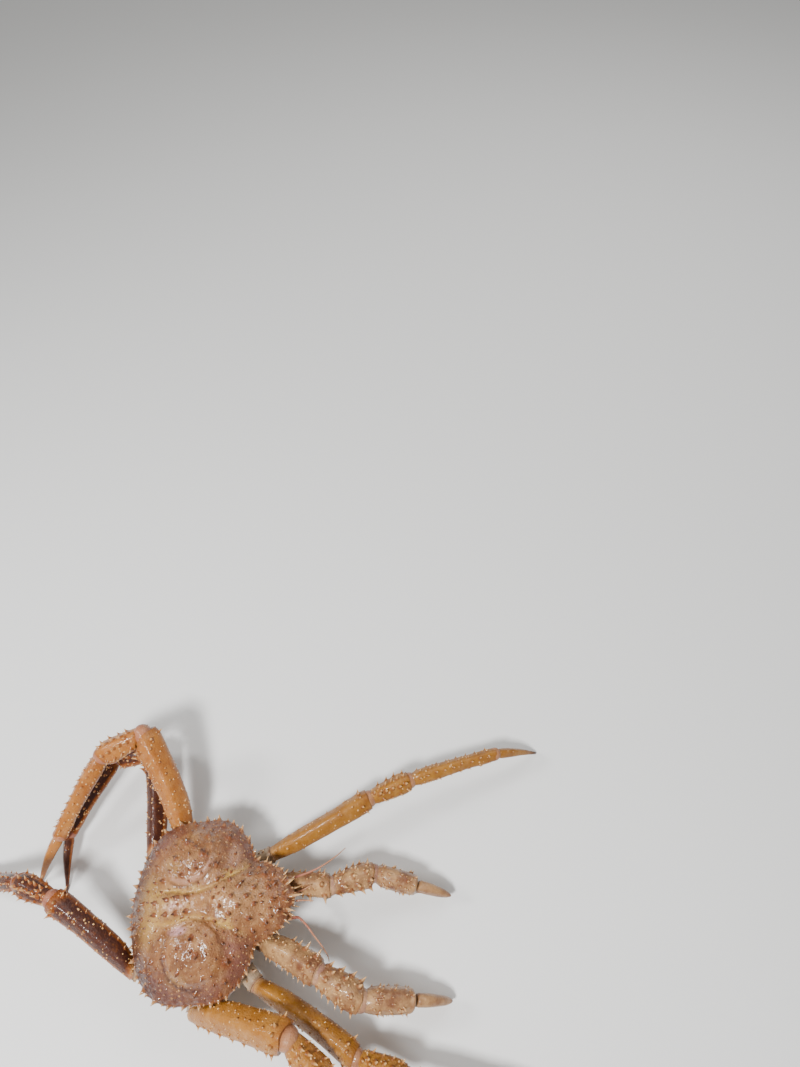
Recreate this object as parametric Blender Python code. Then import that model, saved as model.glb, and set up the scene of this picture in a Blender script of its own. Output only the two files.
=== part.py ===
"""Red king crab, life size, as a still display model that stands on the tips of six walking legs.

The crab faces -Y, its left side is +X and the floor is at height 0. Metres, +Z up.
"""
import math

import bmesh
import bpy
import numpy as np
from mathutils import Vector

MM = 0.001

# The crab's own middle, seen from the origin under the middle of the whole model's box
BODY_MIDDLE = Vector((39.26, 23.44, 0.0)) * MM

# Gap between two pieces that meet, shared evenly by both
SEAM = 0.3 * MM

# Carapace: distance of its edge from its middle, by angle from the front
EDGE_ANGLES = (0, 9, 17, 28, 42, 52, 62, 77, 98, 126, 142, 159, 180)
EDGE_REACH = (100, 94, 91, 79, 69, 76, 83, 93, 96, 104, 100, 94, 92)
EDGE_HEIGHT = 68 * MM
CROWN_HEIGHT = 30 * MM
UNDERSIDE_HEIGHT = 55 * MM
FRONT_RISE = 14 * MM
REAR_DROP = 4 * MM
RIM_DEPTH = 9 * MM
UNDERSIDE_SHARES = (0.9, 0.78, 0.5, 0.25, 0.0)
UNDERSIDE_FRONT_RISE = 17 * MM
CROWN_SQUARENESS = (2.5, 0.8)
RING_SPACING = 0.92
FRONT_FLATTENING = 0.35
EDGE_SPINE = 6.5 * MM
BACK_SPINE = 5.0 * MM
SPINE_LEAN = 0.3
BACK_SPINE_LEAN = 0.075
CARAPACE_SPOKES = 84
SPOKES_PER_EDGE_SPINE = 3
CARAPACE_RINGS = 14
EDGE_RING = 9

# Spines on the back: distance forward of the middle and distance from the midline
BACK_SPINES = (
    (-22, 9), (-36, 9), (-50, 9), (-64, 14), (-78, 26),
    (-2, 38), (-24, 36), (-8, 58), (-34, 58), (10, 66), (-16, 78), (-44, 76), (-60, 56), (-66, 34),
    (20, 44), (6, 86), (-32, 90),
    (22, 8), (36, 15), (50, 8), (30, 32), (46, 30), (62, 17), (76, 10), (88, 3),
)

# Thorax: the walls that carry the limbs, as the limb's root and the way the wall faces
THORAX_TOP = 54.7 * MM
THORAX_BOTTOM = 22 * MM
THORAX_FRONT = 37
THORAX_REAR = 64
THORAX_BLANK = 0.2
ROOT_HEIGHT = 38 * MM
LIMB_ROOTS = {
    "claw": ((22, -30), 30),
    "front_leg": ((38, -12), 60),
    "middle_leg": ((47, 12), 90),
    "rear_leg": ((41, 38), 125),
    "small_leg": ((27, 57), 158),
}

# Limbs: lengths of the pieces from the body out, and their greatest half width and half height
LEG_PIECES = ("ischium", "merus", "carpus", "propodus", "dactyl")
LEG_LENGTHS = {
    "front_leg": (58, 136, 56, 116, 74),
    "middle_leg": (54, 136, 58, 118, 74),
    "rear_leg": (56, 126, 52, 104, 68),
}
LEG_GIRTHS = {
    "front_leg": ((10, 11), (12, 13.5), (11.5, 12), (9.5, 10.2), (6.2, 7)),
    "middle_leg": ((10.5, 12), (15, 15.5), (14, 13.5), (11, 11.5), (7, 7.8)),
    "rear_leg": ((10, 11), (13, 14), (12, 12.5), (10, 10.6), (6.4, 7.2)),
}
CLAW_PIECES = ("ischium", "merus", "carpus")
CLAW_LENGTHS = {"right": (36, 78, 54, 112), "left": (36, 78, 52, 100)}
CLAW_GIRTHS = {
    "right": ((11, 11.5), (14, 14.5), (14.5, 15), (14, 20)),
    "left": ((10, 10.5), (12.5, 13), (13, 13.5), (12.5, 17)),
}

# Pose: each piece's direction, as degrees from the front towards its own side, and degrees up
POSE = {
    "claw_right": ((31, 12), (31, 16), (33, -8), (5, -25)),
    "claw_left": ((0, 10), (-9, 10), (12, -14), (-18, -16)),
    "front_leg_right": ((49, 0), (35, 6), (22, 1), (15, -4), (10, None)),
    "front_leg_left": ((18, 0), (22, 6), (18, 0), (12, -4), (8, None)),
    "middle_leg_right": ((99.5, -7.5), (17.3, 27.2), (48, -22), (44, -12), (38, None)),
    "middle_leg_left": ((125, 5), (110, 33), (198, -12), (228, -31), (232, None)),
    "rear_leg_right": ((165, 4), (222, 24), (207, -8), (192, -34), (182, None)),
    "rear_leg_left": ((146, -6), (94, 4), (180, -2), (238, -7), (266, None)),
}

# How a piece of limb swells along its length: distance along it, and share of its greatest girth
PROFILES = {
    "ischium": ((0, .86), (.35, .92), (.7, 1.0), (1, .94)),
    "merus": ((0, .72), (.13, .84), (.26, .93), (.4, .97), (.54, 1.0), (.68, 1.0), (.82, 1.03), (1, .9)),
    "carpus": ((0, .74), (.3, .92), (.5, 1.0), (.7, 1.04), (1, .88)),
    "propodus": ((0, .86), (.14, 1.0), (.3, .96), (.46, .92), (.62, .88), (.78, .84), (.9, .84), (1, .7)),
    "dactyl": ((0, .84), (.16, 1.0), (.4, .86), (.65, .62), (.86, .38), (1, .2)),
}
DACTYL_BOW = 0.07
LIMB_SIDES = 8

# Spines on a limb: which profile stations, which of the eight edges, and how far they stand out
LIMB_SPINES = {
    "ischium": ((2,), (1, 3), 3.5),
    "merus": ((2, 4, 6), (0, 1, 3, 4), 4.0),
    "carpus": ((1, 3), (0, 1, 3, 4), 4.5),
    "propodus": ((1, 3, 5), (1, 3), 3.0),
    "dactyl": ((), (), 0.0),
}

# Hand: distance along it, and the heights of its top and bottom as shares of its half height
HAND_PROFILE = (
    (0, .5, -.55), (.1, .78, -.76), (.3, 1, -1), (.48, .98, -1), (.54, .86, -.96),
    (.56, -.08, -.94), (.72, -.14, -.84), (.88, -.2, -.62), (1, -.24, -.4),
)
HAND_WIDTHS = (.66, .92, 1, .96, .86, .5, .42, .32, .16)
FINGER_START = 0.563
FINGER_PROFILE = ((0, .84, .1), (.25, .86, .04), (.55, .66, -.02), (.82, .34, -.08), (1, .02, -.16))
FINGER_WIDTHS = (.5, .5, .42, .3, .14)

# Belly flap, folded forward under the thorax: place along the midline, half width, half thickness
BELLY_STATIONS = (
    (84, 50, 13, 3.5), (89, 41, 19, 5), (86, 28, 24, 6.5), (73, 16.5, 28, 6.2), (50, 15.2, 28, 5.8),
    (26, 15.2, 24, 5.8), (4, 15.4, 17, 5.4), (-12, 16, 9, 4), (-18, 16.4, 4, 2.4),
)

# Mouth, eyes and feelers, mostly as (from the midline, forward of the middle, height)
MOUTH_START = (6.2, 41, 34)
MOUTH_END = (6.2, 63, 49)
MOUTH_GIRTH = (4.8, 7.5)
EYE_STALK_START = (9, 72, 64.5)
EYE_STALK_END = (11, 87, 65.5)
EYE_STALK_RADIUS = 2.6 * MM
EYE_RADIUS = 3.7 * MM
EYE_SEAT = 0.62
FEELER_BASE_START = (17.5, 72, 65.5)
FEELER_BASE_END = (21, 97, 70)
FEELER_BASE_GIRTH = (4.2, 3.6)
FEELERS = {
    "right": ((21.1, 97.7, 70.1), (22.2, 105, 71.5), (31, 114, 74), (42, 122, 74), (53, 130, 67), (62, 134, 52),
              (66, 133, 36)),
    "left": ((21.1, 97.7, 70.1), (22, 104, 71.5), (24, 118, 77), (29, 134, 79), (38, 149, 75), (49, 161, 64)),
}
FEELER_RADII = (1.7, .45)
SMALL_FEELERS = {
    "right": ((3.5, 82, 66), (3.8, 96, 69), (4.5, 110, 73), (6.5, 122, 74)),
    "left": ((3.5, 82, 66), (4, 96, 69), (6, 109, 73), (10, 120, 75)),
}
SMALL_FEELER_RADII = (1.5, .6)

# Last pair of legs, small and folded away under the rear of the carapace
SMALL_LEG_ROUTE = ((27.2, -57.6, 42), (30, -67, 43), (31.5, -76, 45.5), (29, -84, 48.5), (24, -88, 50))
SMALL_LEG_RADII = (4.2, 2.2)

COLOURS = {
    "carapace_shell": ((0.42, 0.19, 0.11), 0.32),
    "leg_shell": ((0.52, 0.24, 0.08), 0.35),
    "claw_shell": ((0.48, 0.26, 0.12), 0.36),
    "under_shell": ((0.62, 0.45, 0.27), 0.45),
    "feeler_shell": ((0.50, 0.24, 0.20), 0.40),
    "eye_dark": ((0.015, 0.010, 0.012), 0.08),
}


def point(across, forward, height, side=1):
    """A place on the crab in metres, from millimetres across to one side, forward and up."""
    return Vector((side * across, -forward, height)) * MM


def heading(azimuth, elevation, side):
    """The direction that many degrees from the front towards one side, and that many degrees up."""
    turn = math.radians(azimuth)
    rise = math.radians(elevation)
    return Vector((side * math.sin(turn) * math.cos(rise), -math.cos(turn) * math.cos(rise), math.sin(rise)))


def limb_joints(root, side, lengths, angles):
    """Joint places and piece directions from the body out. A piece with no elevation ends on the floor."""
    places = [root]
    directions = []
    for length, (azimuth, elevation) in zip(lengths, angles):
        reach = length * MM
        if elevation is None:
            elevation = -math.degrees(math.asin(places[-1].z / reach))
        directions.append(heading(azimuth, elevation, side))
        places.append(places[-1] + directions[-1] * reach)
    return places, directions


def smooth_steps(x, start, end):
    """0 before start, 1 after end, and an even S curve between."""
    t = np.clip((np.asarray(x, dtype=float) - start) / (end - start), 0, 1)
    return t * t * (3 - 2 * t)


def edge_reach(angle):
    """How far the carapace's edge lies from its middle, in metres, by angle from the front in degrees."""
    knots = np.array(EDGE_ANGLES, dtype=float)
    reach = np.array(EDGE_REACH, dtype=float)
    slopes = np.gradient(reach, knots)
    slopes[0] = slopes[-1] = 0
    angle = np.abs(angle)
    i = np.clip(np.searchsorted(knots, angle) - 1, 0, len(knots) - 2)
    span = knots[i + 1] - knots[i]
    t = (angle - knots[i]) / span
    blend = (1 + 2 * t) * (1 - t) ** 2 * reach[i] + t * t * (3 - 2 * t) * reach[i + 1]
    blend += t * (1 - t) ** 2 * span * slopes[i] - t * t * (1 - t) * span * slopes[i + 1]
    return blend * MM


def hill(forward, across, middle, spread):
    """A rounded hill of height 1 at a place, with its own spread each way, in millimetres."""
    return math.exp(-((forward - middle[0]) / spread[0]) ** 2 - ((across - middle[1]) / spread[1]) ** 2)


def back_relief(forward, across):
    """Height of the gill lobes, the stomach hump and the grooves between them, in metres."""
    across = abs(across)
    relief = 13 * hill(forward, across, (-10, 56), (40, 30))
    relief += 12 * hill(forward, across, (40, 0), (27, 30))
    relief += 4 * hill(forward, across, (-34, 0), (34, 14))
    relief -= 5 * hill(forward, across, (-36, 22), (32, 6))
    relief -= 7 * hill(forward, across, (26, 46), (9, 20))
    return relief * MM


def carapace_point(angle, ring):
    """Place on the carapace by angle from the front in radians and ring, 0 on top, EDGE_RING at the edge."""
    reach = float(edge_reach(math.degrees(angle)))
    below = ring - EDGE_RING
    if below <= 0:
        share = (ring / EDGE_RING) ** RING_SPACING
    else:
        share = UNDERSIDE_SHARES[below - 1]
    forward = math.cos(angle) * reach * share
    across = math.sin(angle) * reach * share
    front = float(smooth_steps(forward, 0.040, 0.090))
    rear = float(smooth_steps(-forward, 0.060, 0.092))
    edge = EDGE_HEIGHT + FRONT_RISE * front - REAR_DROP * rear
    if below <= 0:
        crown = (1 - min(share, 1.0) ** CROWN_SQUARENESS[0]) ** CROWN_SQUARENESS[1]
        flat = 1 - FRONT_FLATTENING * front
        height = edge + (CROWN_HEIGHT * flat + back_relief(forward / MM, across / MM)) * crown
    elif below == 1:
        height = edge - RIM_DEPTH
    else:
        height = UNDERSIDE_HEIGHT + UNDERSIDE_FRONT_RISE * float(smooth_steps(forward, 0.030, 0.078))
    return Vector((across, -forward, height))


def new_object(name, mesh, slot, collection):
    """One named piece with its own finish, shaded smooth with its sharp edges kept."""
    for vertex in mesh.vertices:
        vertex.co = vertex.co + BODY_MIDDLE
    material = bpy.data.materials.new(name + "_" + slot)
    material.use_nodes = True
    colour, roughness = COLOURS[slot]
    shader = material.node_tree.nodes["Principled BSDF"]
    shader.inputs["Base Color"].default_value = (*colour, 1)
    shader.inputs["Roughness"].default_value = roughness
    shader.inputs["Metallic"].default_value = 0.0
    mesh.materials.append(material)
    mesh.shade_smooth()
    mesh.set_sharp_from_angle(angle=math.radians(50))
    piece = bpy.data.objects.new(name, mesh)
    collection.objects.link(piece)
    return piece


def finish_mesh(name, shape):
    """Turn a bmesh into a mesh of triangles whose faces point out."""
    bmesh.ops.recalc_face_normals(shape, faces=shape.faces)
    if shape.calc_volume(signed=True) < 0:
        bmesh.ops.reverse_faces(shape, faces=shape.faces)
    bmesh.ops.triangulate(shape, faces=shape.faces)
    mesh = bpy.data.meshes.new(name)
    shape.to_mesh(mesh)
    shape.free()
    return mesh


def slide_to_plane(place, direction, plane_point, plane_normal, offset):
    """Slide a place along a direction onto a plane moved along its normal by the offset."""
    distance = ((plane_point - place).dot(plane_normal) + offset) / direction.dot(plane_normal)
    return place + direction * distance


def tube(name, stations, place, sides, start_cut=None, end_cut=None):
    """A closed tube: a cylinder with a ring at each station, its points moved by place(station, angle)."""
    shape = bmesh.new()
    bmesh.ops.create_cone(shape, cap_ends=True, segments=sides, radius1=1, radius2=1, depth=1)
    for vertex in shape.verts:
        vertex.co.z += 0.5
    for station in stations[1:-1]:
        everything = shape.verts[:] + shape.edges[:] + shape.faces[:]
        bmesh.ops.bisect_plane(shape, geom=everything, dist=1e-7, plane_co=(0, 0, station), plane_no=(0, 0, 1))
    for vertex in shape.verts:
        index = int(np.argmin([abs(vertex.co.z - station) for station in stations]))
        angle = math.atan2(vertex.co.y, vertex.co.x)
        target = place(index, angle)
        if index == 0 and start_cut:
            target = slide_to_plane(target, *start_cut)
        if index == len(stations) - 1 and end_cut:
            target = slide_to_plane(target, *end_cut)
        vertex.co = target
    return finish_mesh(name, shape)


def section_axes(direction):
    """The directions across and up for a piece that points along a direction."""
    up = (Vector((0, 0, 1)) - direction * direction.z).normalized()
    return up.cross(direction), up


def limb_piece(name, kind, start, direction, length, girth, cuts):
    """One tapering piece of a limb, with its rows of spines."""
    across, up = section_axes(direction)
    profile = PROFILES[kind]
    stations, edges, spine = LIMB_SPINES[kind]
    bow = DACTYL_BOW * length if kind == "dactyl" else 0.0

    def place(index, angle):
        along, share = profile[index]
        edge = int(round(math.degrees(angle) * LIMB_SIDES / 360)) % LIMB_SIDES
        grow = spine * MM if index in stations and edge in edges else 0.0
        out = across * math.cos(angle) * girth[0] * MM * share + up * math.sin(angle) * girth[1] * MM * share
        lift = up * (4 * bow * along * (1 - along))
        return start + direction * (length * along + grow * SPINE_LEAN) + lift + out + out.normalized() * grow

    return tube(name, [station for station, _ in profile], place, LIMB_SIDES, *cuts)


def cuts_between(places, directions, index, root_normal):
    """The two planes a piece ends on: at the body's wall, halfway round each bend, and at the floor."""
    direction = directions[index]
    if index == 0:
        start_normal = root_normal
    else:
        start_normal = (directions[index - 1] + direction).normalized()
    start = (direction, places[index], start_normal, SEAM / 2)
    if index == len(directions) - 1:
        return start, (direction, places[index + 1], Vector((0, 0, -1)), 0.0)
    end_normal = (direction + directions[index + 1]).normalized()
    return start, (direction, places[index + 1], end_normal, -SEAM / 2)


def root_of(kind, side):
    """A limb's root on the thorax wall, and the way that wall faces."""
    (across, rearward), facing = LIMB_ROOTS[kind]
    return point(across, -rearward, ROOT_HEIGHT / MM, side), heading(facing, 0, side)


def add_leg(kind, side_name, side, collection):
    """One walking leg of five pieces, ending in a small flat on the floor."""
    limb = kind + "_" + side_name
    root, facing = root_of(kind, side)
    places, directions = limb_joints(root, side, LEG_LENGTHS[kind], POSE[limb])
    for index, piece in enumerate(LEG_PIECES):
        length = (places[index + 1] - places[index]).length
        cuts = cuts_between(places, directions, index, facing)
        mesh = limb_piece(limb + "_" + piece, piece, places[index], directions[index], length,
                          LEG_GIRTHS[kind][index], cuts)
        new_object(limb + "_" + piece, mesh, "leg_shell", collection)


def hand_part(name, start, direction, length, girth, profile, widths, start_cut):
    """A palm with its fixed finger, or a moving finger: a tube whose top and bottom run apart."""
    across, up = section_axes(direction)

    def place(index, angle):
        along, top, bottom = profile[index]
        middle = (top + bottom) / 2
        half = (top - bottom) / 2
        rise = (middle + half * math.sin(angle)) * girth[1] * MM
        spread = math.cos(angle) * girth[0] * widths[index] * MM
        return start + direction * length * along + across * spread + up * rise

    return tube(name, [row[0] for row in profile], place, LIMB_SIDES, start_cut)


def add_claw(side_name, side, collection):
    """One claw limb: three arm pieces, the palm with its fixed finger, and the moving finger."""
    limb = "claw_" + side_name
    root, facing = root_of("claw", side)
    places, directions = limb_joints(root, side, CLAW_LENGTHS[side_name], POSE[limb])
    girths = CLAW_GIRTHS[side_name]
    for index, piece in enumerate(CLAW_PIECES):
        length = (places[index + 1] - places[index]).length
        cuts = cuts_between(places, directions, index, facing)
        mesh = limb_piece(limb + "_" + piece, piece, places[index], directions[index], length, girths[index], cuts)
        new_object(limb + "_" + piece, mesh, "claw_shell", collection)
    wrist, direction = places[3], directions[3]
    length = (places[4] - wrist).length
    cut = (direction, wrist, (directions[2] + direction).normalized(), SEAM / 2)
    palm = hand_part(limb + "_palm", wrist, direction, length, girths[3], HAND_PROFILE, HAND_WIDTHS, cut)
    new_object(limb + "_palm", palm, "claw_shell", collection)
    knuckle = wrist + direction * length * FINGER_START
    finger = hand_part(limb + "_finger", knuckle, direction, length * (1 - FINGER_START), girths[3],
                       FINGER_PROFILE, FINGER_WIDTHS, None)
    new_object(limb + "_finger", finger, "claw_shell", collection)


def nearest_on_back(places, forward, across):
    """The carapace vertex nearest to a place on the back, by its key in the table of places."""
    return min(places, key=lambda key: (places[key].x - across) ** 2 + (places[key].y + forward) ** 2)


def add_carapace(collection):
    """The carapace: a sphere whose rings follow the edge's outline and the back's relief, with spines."""
    shape = bmesh.new()
    bmesh.ops.create_uvsphere(shape, u_segments=CARAPACE_SPOKES, v_segments=CARAPACE_RINGS, radius=1)
    spokes = {}
    back = {}
    for vertex in shape.verts:
        ring = math.acos(max(-1.0, min(1.0, vertex.co.z))) / math.pi * CARAPACE_RINGS
        ring = int(round(ring))
        angle = math.atan2(vertex.co.y, vertex.co.x)
        spoke = int(round(math.degrees(angle) / 360 * CARAPACE_SPOKES))
        target = carapace_point(angle, ring)
        if ring == EDGE_RING and spoke % SPOKES_PER_EDGE_SPINE == 0:
            out = Vector((target.x, target.y, 0)).normalized()
            target += out * EDGE_SPINE + Vector((0, 0, EDGE_SPINE * SPINE_LEAN))
        spokes[vertex] = target
        if 1 <= ring < EDGE_RING:
            back[vertex] = target
    for forward, across in BACK_SPINES:
        for side in (1, -1):
            vertex = nearest_on_back(back, forward * MM, side * across * MM)
            lean = Vector((back[vertex].x, back[vertex].y, BACK_SPINE_LEAN)).normalized()
            spokes[vertex] = back[vertex] + lean * BACK_SPINE
    for vertex, target in spokes.items():
        vertex.co = target
    new_object("carapace", finish_mesh("carapace", shape), "carapace_shell", collection)


def add_thorax(collection):
    """The thorax: a block whose side walls are cut flat where the limbs join it."""
    shape = bmesh.new()
    bmesh.ops.create_cube(shape, size=1)
    middle = (THORAX_TOP + THORAX_BOTTOM) / 2
    for vertex in shape.verts:
        rise = vertex.co.z * (THORAX_TOP - THORAX_BOTTOM)
        vertex.co = Vector((vertex.co.x * THORAX_BLANK, vertex.co.y * THORAX_BLANK, middle + rise))
    walls = [root_of(kind, side) for kind in LIMB_ROOTS for side in (1, -1)]
    walls.append((point(0, THORAX_FRONT, 0), Vector((0, -1, 0))))
    walls.append((point(0, -THORAX_REAR, 0), Vector((0, 1, 0))))
    for root, facing in walls:
        everything = shape.verts[:] + shape.edges[:] + shape.faces[:]
        cut = bmesh.ops.bisect_plane(shape, geom=everything, dist=1e-7, plane_co=root - facing * SEAM / 2,
                                     plane_no=facing, clear_outer=True)
        edges = [item for item in cut["geom_cut"] if isinstance(item, bmesh.types.BMEdge)]
        bmesh.ops.holes_fill(shape, edges=edges)
    new_object("thorax", finish_mesh("thorax", shape), "under_shell", collection)


def path_tube(name, rows, sides):
    """A tube through stations given as (forward, height, half width, half thickness) on the midline."""
    middles = [point(0, -rearward, height) for rearward, height, _, _ in rows]

    def place(index, angle):
        before = middles[max(index - 1, 0)]
        after = middles[min(index + 1, len(middles) - 1)]
        run = (after - before).normalized()
        across = Vector((1, 0, 0))
        out = across * math.cos(angle) * rows[index][2] * MM
        return middles[index] + out + run.cross(across) * math.sin(angle) * rows[index][3] * MM

    return tube(name, [index / (len(rows) - 1) for index in range(len(rows))], place, sides)


def add_belly(collection):
    """The belly flap that folds under the thorax from the rear of the carapace."""
    new_object("abdomen", path_tube("abdomen", BELLY_STATIONS, 12), "under_shell", collection)


def plain_tube(name, start, end, girth, ends, sides):
    """A straight tube that narrows from full girth to a share of it at its end."""
    direction = (end - start).normalized()
    across, up = section_axes(direction)

    def place(index, angle):
        along, share = ends[index]
        out = across * math.cos(angle) * girth[0] * MM + up * math.sin(angle) * girth[1] * MM
        return start.lerp(end, along) + out * share

    return tube(name, [along for along, _ in ends], place, sides)


def add_feeler(name, route, radii, side, slot, collection):
    """A feeler: a curve through its route that narrows towards its tip, turned into a mesh."""
    curve = bpy.data.curves.new(name + "_route", "CURVE")
    curve.dimensions = "3D"
    curve.bevel_depth = MM
    curve.bevel_resolution = 1
    curve.use_fill_caps = True
    spline = curve.splines.new("POLY")
    places = [np.array(point(*place, side)) for place in route]
    spans = 3
    samples = []
    for index in range(len(places) - 1):
        before = places[max(index - 1, 0)]
        after = places[min(index + 2, len(places) - 1)]
        for step in range(spans):
            t = step / spans
            a, b = places[index], places[index + 1]
            bend = (2 * a + (b - before) * t + (2 * before - 5 * a + 4 * b - after) * t * t
                    + (3 * a - before - 3 * b + after) * t ** 3) / 2
            samples.append(bend)
    samples.append(places[-1])
    spline.points.add(len(samples) - 1)
    for index, sample in enumerate(samples):
        spline.points[index].co = (*sample, 1)
        spline.points[index].radius = radii[0] + (radii[1] - radii[0]) * index / (len(samples) - 1)
    holder = bpy.data.objects.new(name + "_route", curve)
    collection.objects.link(holder)
    evaluated = holder.evaluated_get(bpy.context.evaluated_depsgraph_get())
    shape = bmesh.new()
    shape.from_mesh(bpy.data.meshes.new_from_object(evaluated))
    bmesh.ops.remove_doubles(shape, verts=shape.verts, dist=1e-6)
    bpy.data.objects.remove(holder, do_unlink=True)
    new_object(name, finish_mesh(name, shape), slot, collection)


def add_eye(side_name, side, collection):
    """An eye stalk, and the dark eye that caps it."""
    start = point(*EYE_STALK_START, side)
    end = point(*EYE_STALK_END, side)
    girth = (EYE_STALK_RADIUS / MM, EYE_STALK_RADIUS / MM)
    stalk = plain_tube("eye_stalk_" + side_name, start, end, girth, ((0, .8), (.5, .9), (1, 1)), 10)
    new_object("eye_stalk_" + side_name, stalk, "feeler_shell", collection)
    shape = bmesh.new()
    bmesh.ops.create_uvsphere(shape, u_segments=12, v_segments=8, radius=EYE_RADIUS)
    forward = (end - start).normalized()
    for vertex in shape.verts:
        vertex.co += end + forward * (EYE_RADIUS * EYE_SEAT)
    everything = shape.verts[:] + shape.edges[:] + shape.faces[:]
    cut = bmesh.ops.bisect_plane(shape, geom=everything, dist=1e-7, plane_co=end + forward * SEAM,
                                 plane_no=-forward, clear_outer=True)
    edges = [item for item in cut["geom_cut"] if isinstance(item, bmesh.types.BMEdge)]
    bmesh.ops.holes_fill(shape, edges=edges)
    new_object("eye_" + side_name, finish_mesh("eye_" + side_name, shape), "eye_dark", collection)


def add_face(side_name, side, collection):
    """Mouth cover, eye, feeler with its base, and small feeler of one side."""
    cover = plain_tube("mouth_" + side_name, point(*MOUTH_START, side), point(*MOUTH_END, side), MOUTH_GIRTH,
                       ((0, .8), (.3, 1), (.7, .9), (1, .45)), 8)
    new_object("mouth_" + side_name, cover, "under_shell", collection)
    add_eye(side_name, side, collection)
    base_end = point(*FEELER_BASE_END, side)
    base = plain_tube("feeler_base_" + side_name, point(*FEELER_BASE_START, side), base_end, FEELER_BASE_GIRTH,
                      ((0, .9), (.4, 1), (.7, .8), (1, .6)), 8)
    new_object("feeler_base_" + side_name, base, "feeler_shell", collection)
    add_feeler("feeler_" + side_name, FEELERS[side_name], FEELER_RADII, side, "feeler_shell", collection)
    add_feeler("small_feeler_" + side_name, SMALL_FEELERS[side_name], SMALL_FEELER_RADII, side, "feeler_shell",
               collection)


def main():
    """Build the whole crab in one collection."""
    for item in list(bpy.data.objects):
        bpy.data.objects.remove(item, do_unlink=True)
    collection = bpy.data.collections.new("red_king_crab")
    bpy.context.scene.collection.children.link(collection)
    add_carapace(collection)
    add_thorax(collection)
    add_belly(collection)
    for side_name, side in (("left", 1), ("right", -1)):
        add_face(side_name, side, collection)
        add_claw(side_name, side, collection)
        for kind in LEG_LENGTHS:
            add_leg(kind, side_name, side, collection)
        add_feeler("small_leg_" + side_name, SMALL_LEG_ROUTE, SMALL_LEG_RADII, side, "leg_shell", collection)


main()
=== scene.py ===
"""Looks of the red king crab: shell plates, spines, limbs, face and a pale studio, round the CAD frame.

The crab faces -Y, its left side is +X and the floor is at height 0. Metres, +Z up. Places on the crab
are written in millimetres as (forward of its middle, across to its left, height).
"""
import math

import bpy
import numpy as np
from bpy.props import FloatProperty, FloatVectorProperty, IntProperty, PointerProperty
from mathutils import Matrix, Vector


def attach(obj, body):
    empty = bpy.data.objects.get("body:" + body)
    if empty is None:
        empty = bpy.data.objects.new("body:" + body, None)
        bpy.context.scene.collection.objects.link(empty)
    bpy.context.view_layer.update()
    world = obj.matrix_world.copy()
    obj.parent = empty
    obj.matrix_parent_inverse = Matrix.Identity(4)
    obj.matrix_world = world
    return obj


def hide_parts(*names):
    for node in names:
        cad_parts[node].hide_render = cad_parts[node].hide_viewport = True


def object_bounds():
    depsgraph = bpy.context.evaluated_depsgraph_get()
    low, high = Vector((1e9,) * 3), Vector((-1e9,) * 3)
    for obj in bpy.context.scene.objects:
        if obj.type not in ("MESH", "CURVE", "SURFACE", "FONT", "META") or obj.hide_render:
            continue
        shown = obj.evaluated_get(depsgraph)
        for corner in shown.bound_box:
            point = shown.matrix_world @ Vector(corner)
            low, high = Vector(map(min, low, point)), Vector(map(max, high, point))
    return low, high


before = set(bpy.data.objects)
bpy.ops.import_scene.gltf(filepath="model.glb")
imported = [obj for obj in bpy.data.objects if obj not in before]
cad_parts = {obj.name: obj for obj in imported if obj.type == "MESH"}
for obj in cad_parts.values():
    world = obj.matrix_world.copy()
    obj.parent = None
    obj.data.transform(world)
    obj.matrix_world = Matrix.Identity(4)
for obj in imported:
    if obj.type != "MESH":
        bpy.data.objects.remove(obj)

bl_info = {
    "name": "Red King Crab",
    "version": (1, 0, 0),
    "blender": (4, 5, 0),
    "location": "3D View > Sidebar > Crab",
    "description": "Builds a life-size still red king crab round its CAD frame",
    "category": "Add Mesh",
}

MM = 0.001
CAD_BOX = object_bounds()
BODY = "root"
SIDES = (("left", 1), ("right", -1))

# The crab's own middle, seen from the origin under the middle of the whole model's box
BODY_MIDDLE = np.array((39.26, 23.44, 0.0)) * MM

# Carapace outline: distance of its edge from its middle, by angle from the front
EDGE_ANGLES = (0, 9, 17, 28, 42, 52, 62, 77, 98, 126, 142, 159, 180)
EDGE_REACH = (100, 94, 91, 79, 69, 76, 83, 93, 96, 104, 100, 94, 92)
EDGE_HEIGHT = 68
CROWN_HEIGHT = 30
FRONT_RISE = 14
REAR_DROP = 4
UNDERSIDE_HEIGHT = 55
UNDERSIDE_FRONT_RISE = 17

# Limb roots on the thorax wall: (across, rearward) and the way the wall faces
ROOT_HEIGHT = 38
LIMB_ROOTS = {
    "claw": ((22, -30), 30),
    "front_leg": ((38, -12), 60),
    "middle_leg": ((47, 12), 90),
    "rear_leg": ((41, 38), 125),
    "small_leg": ((27, 57), 158),
}
THORAX_WALLS = ((37, 0), (64, 180))
THORAX_SPAN = (22, 54.7)

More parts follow.
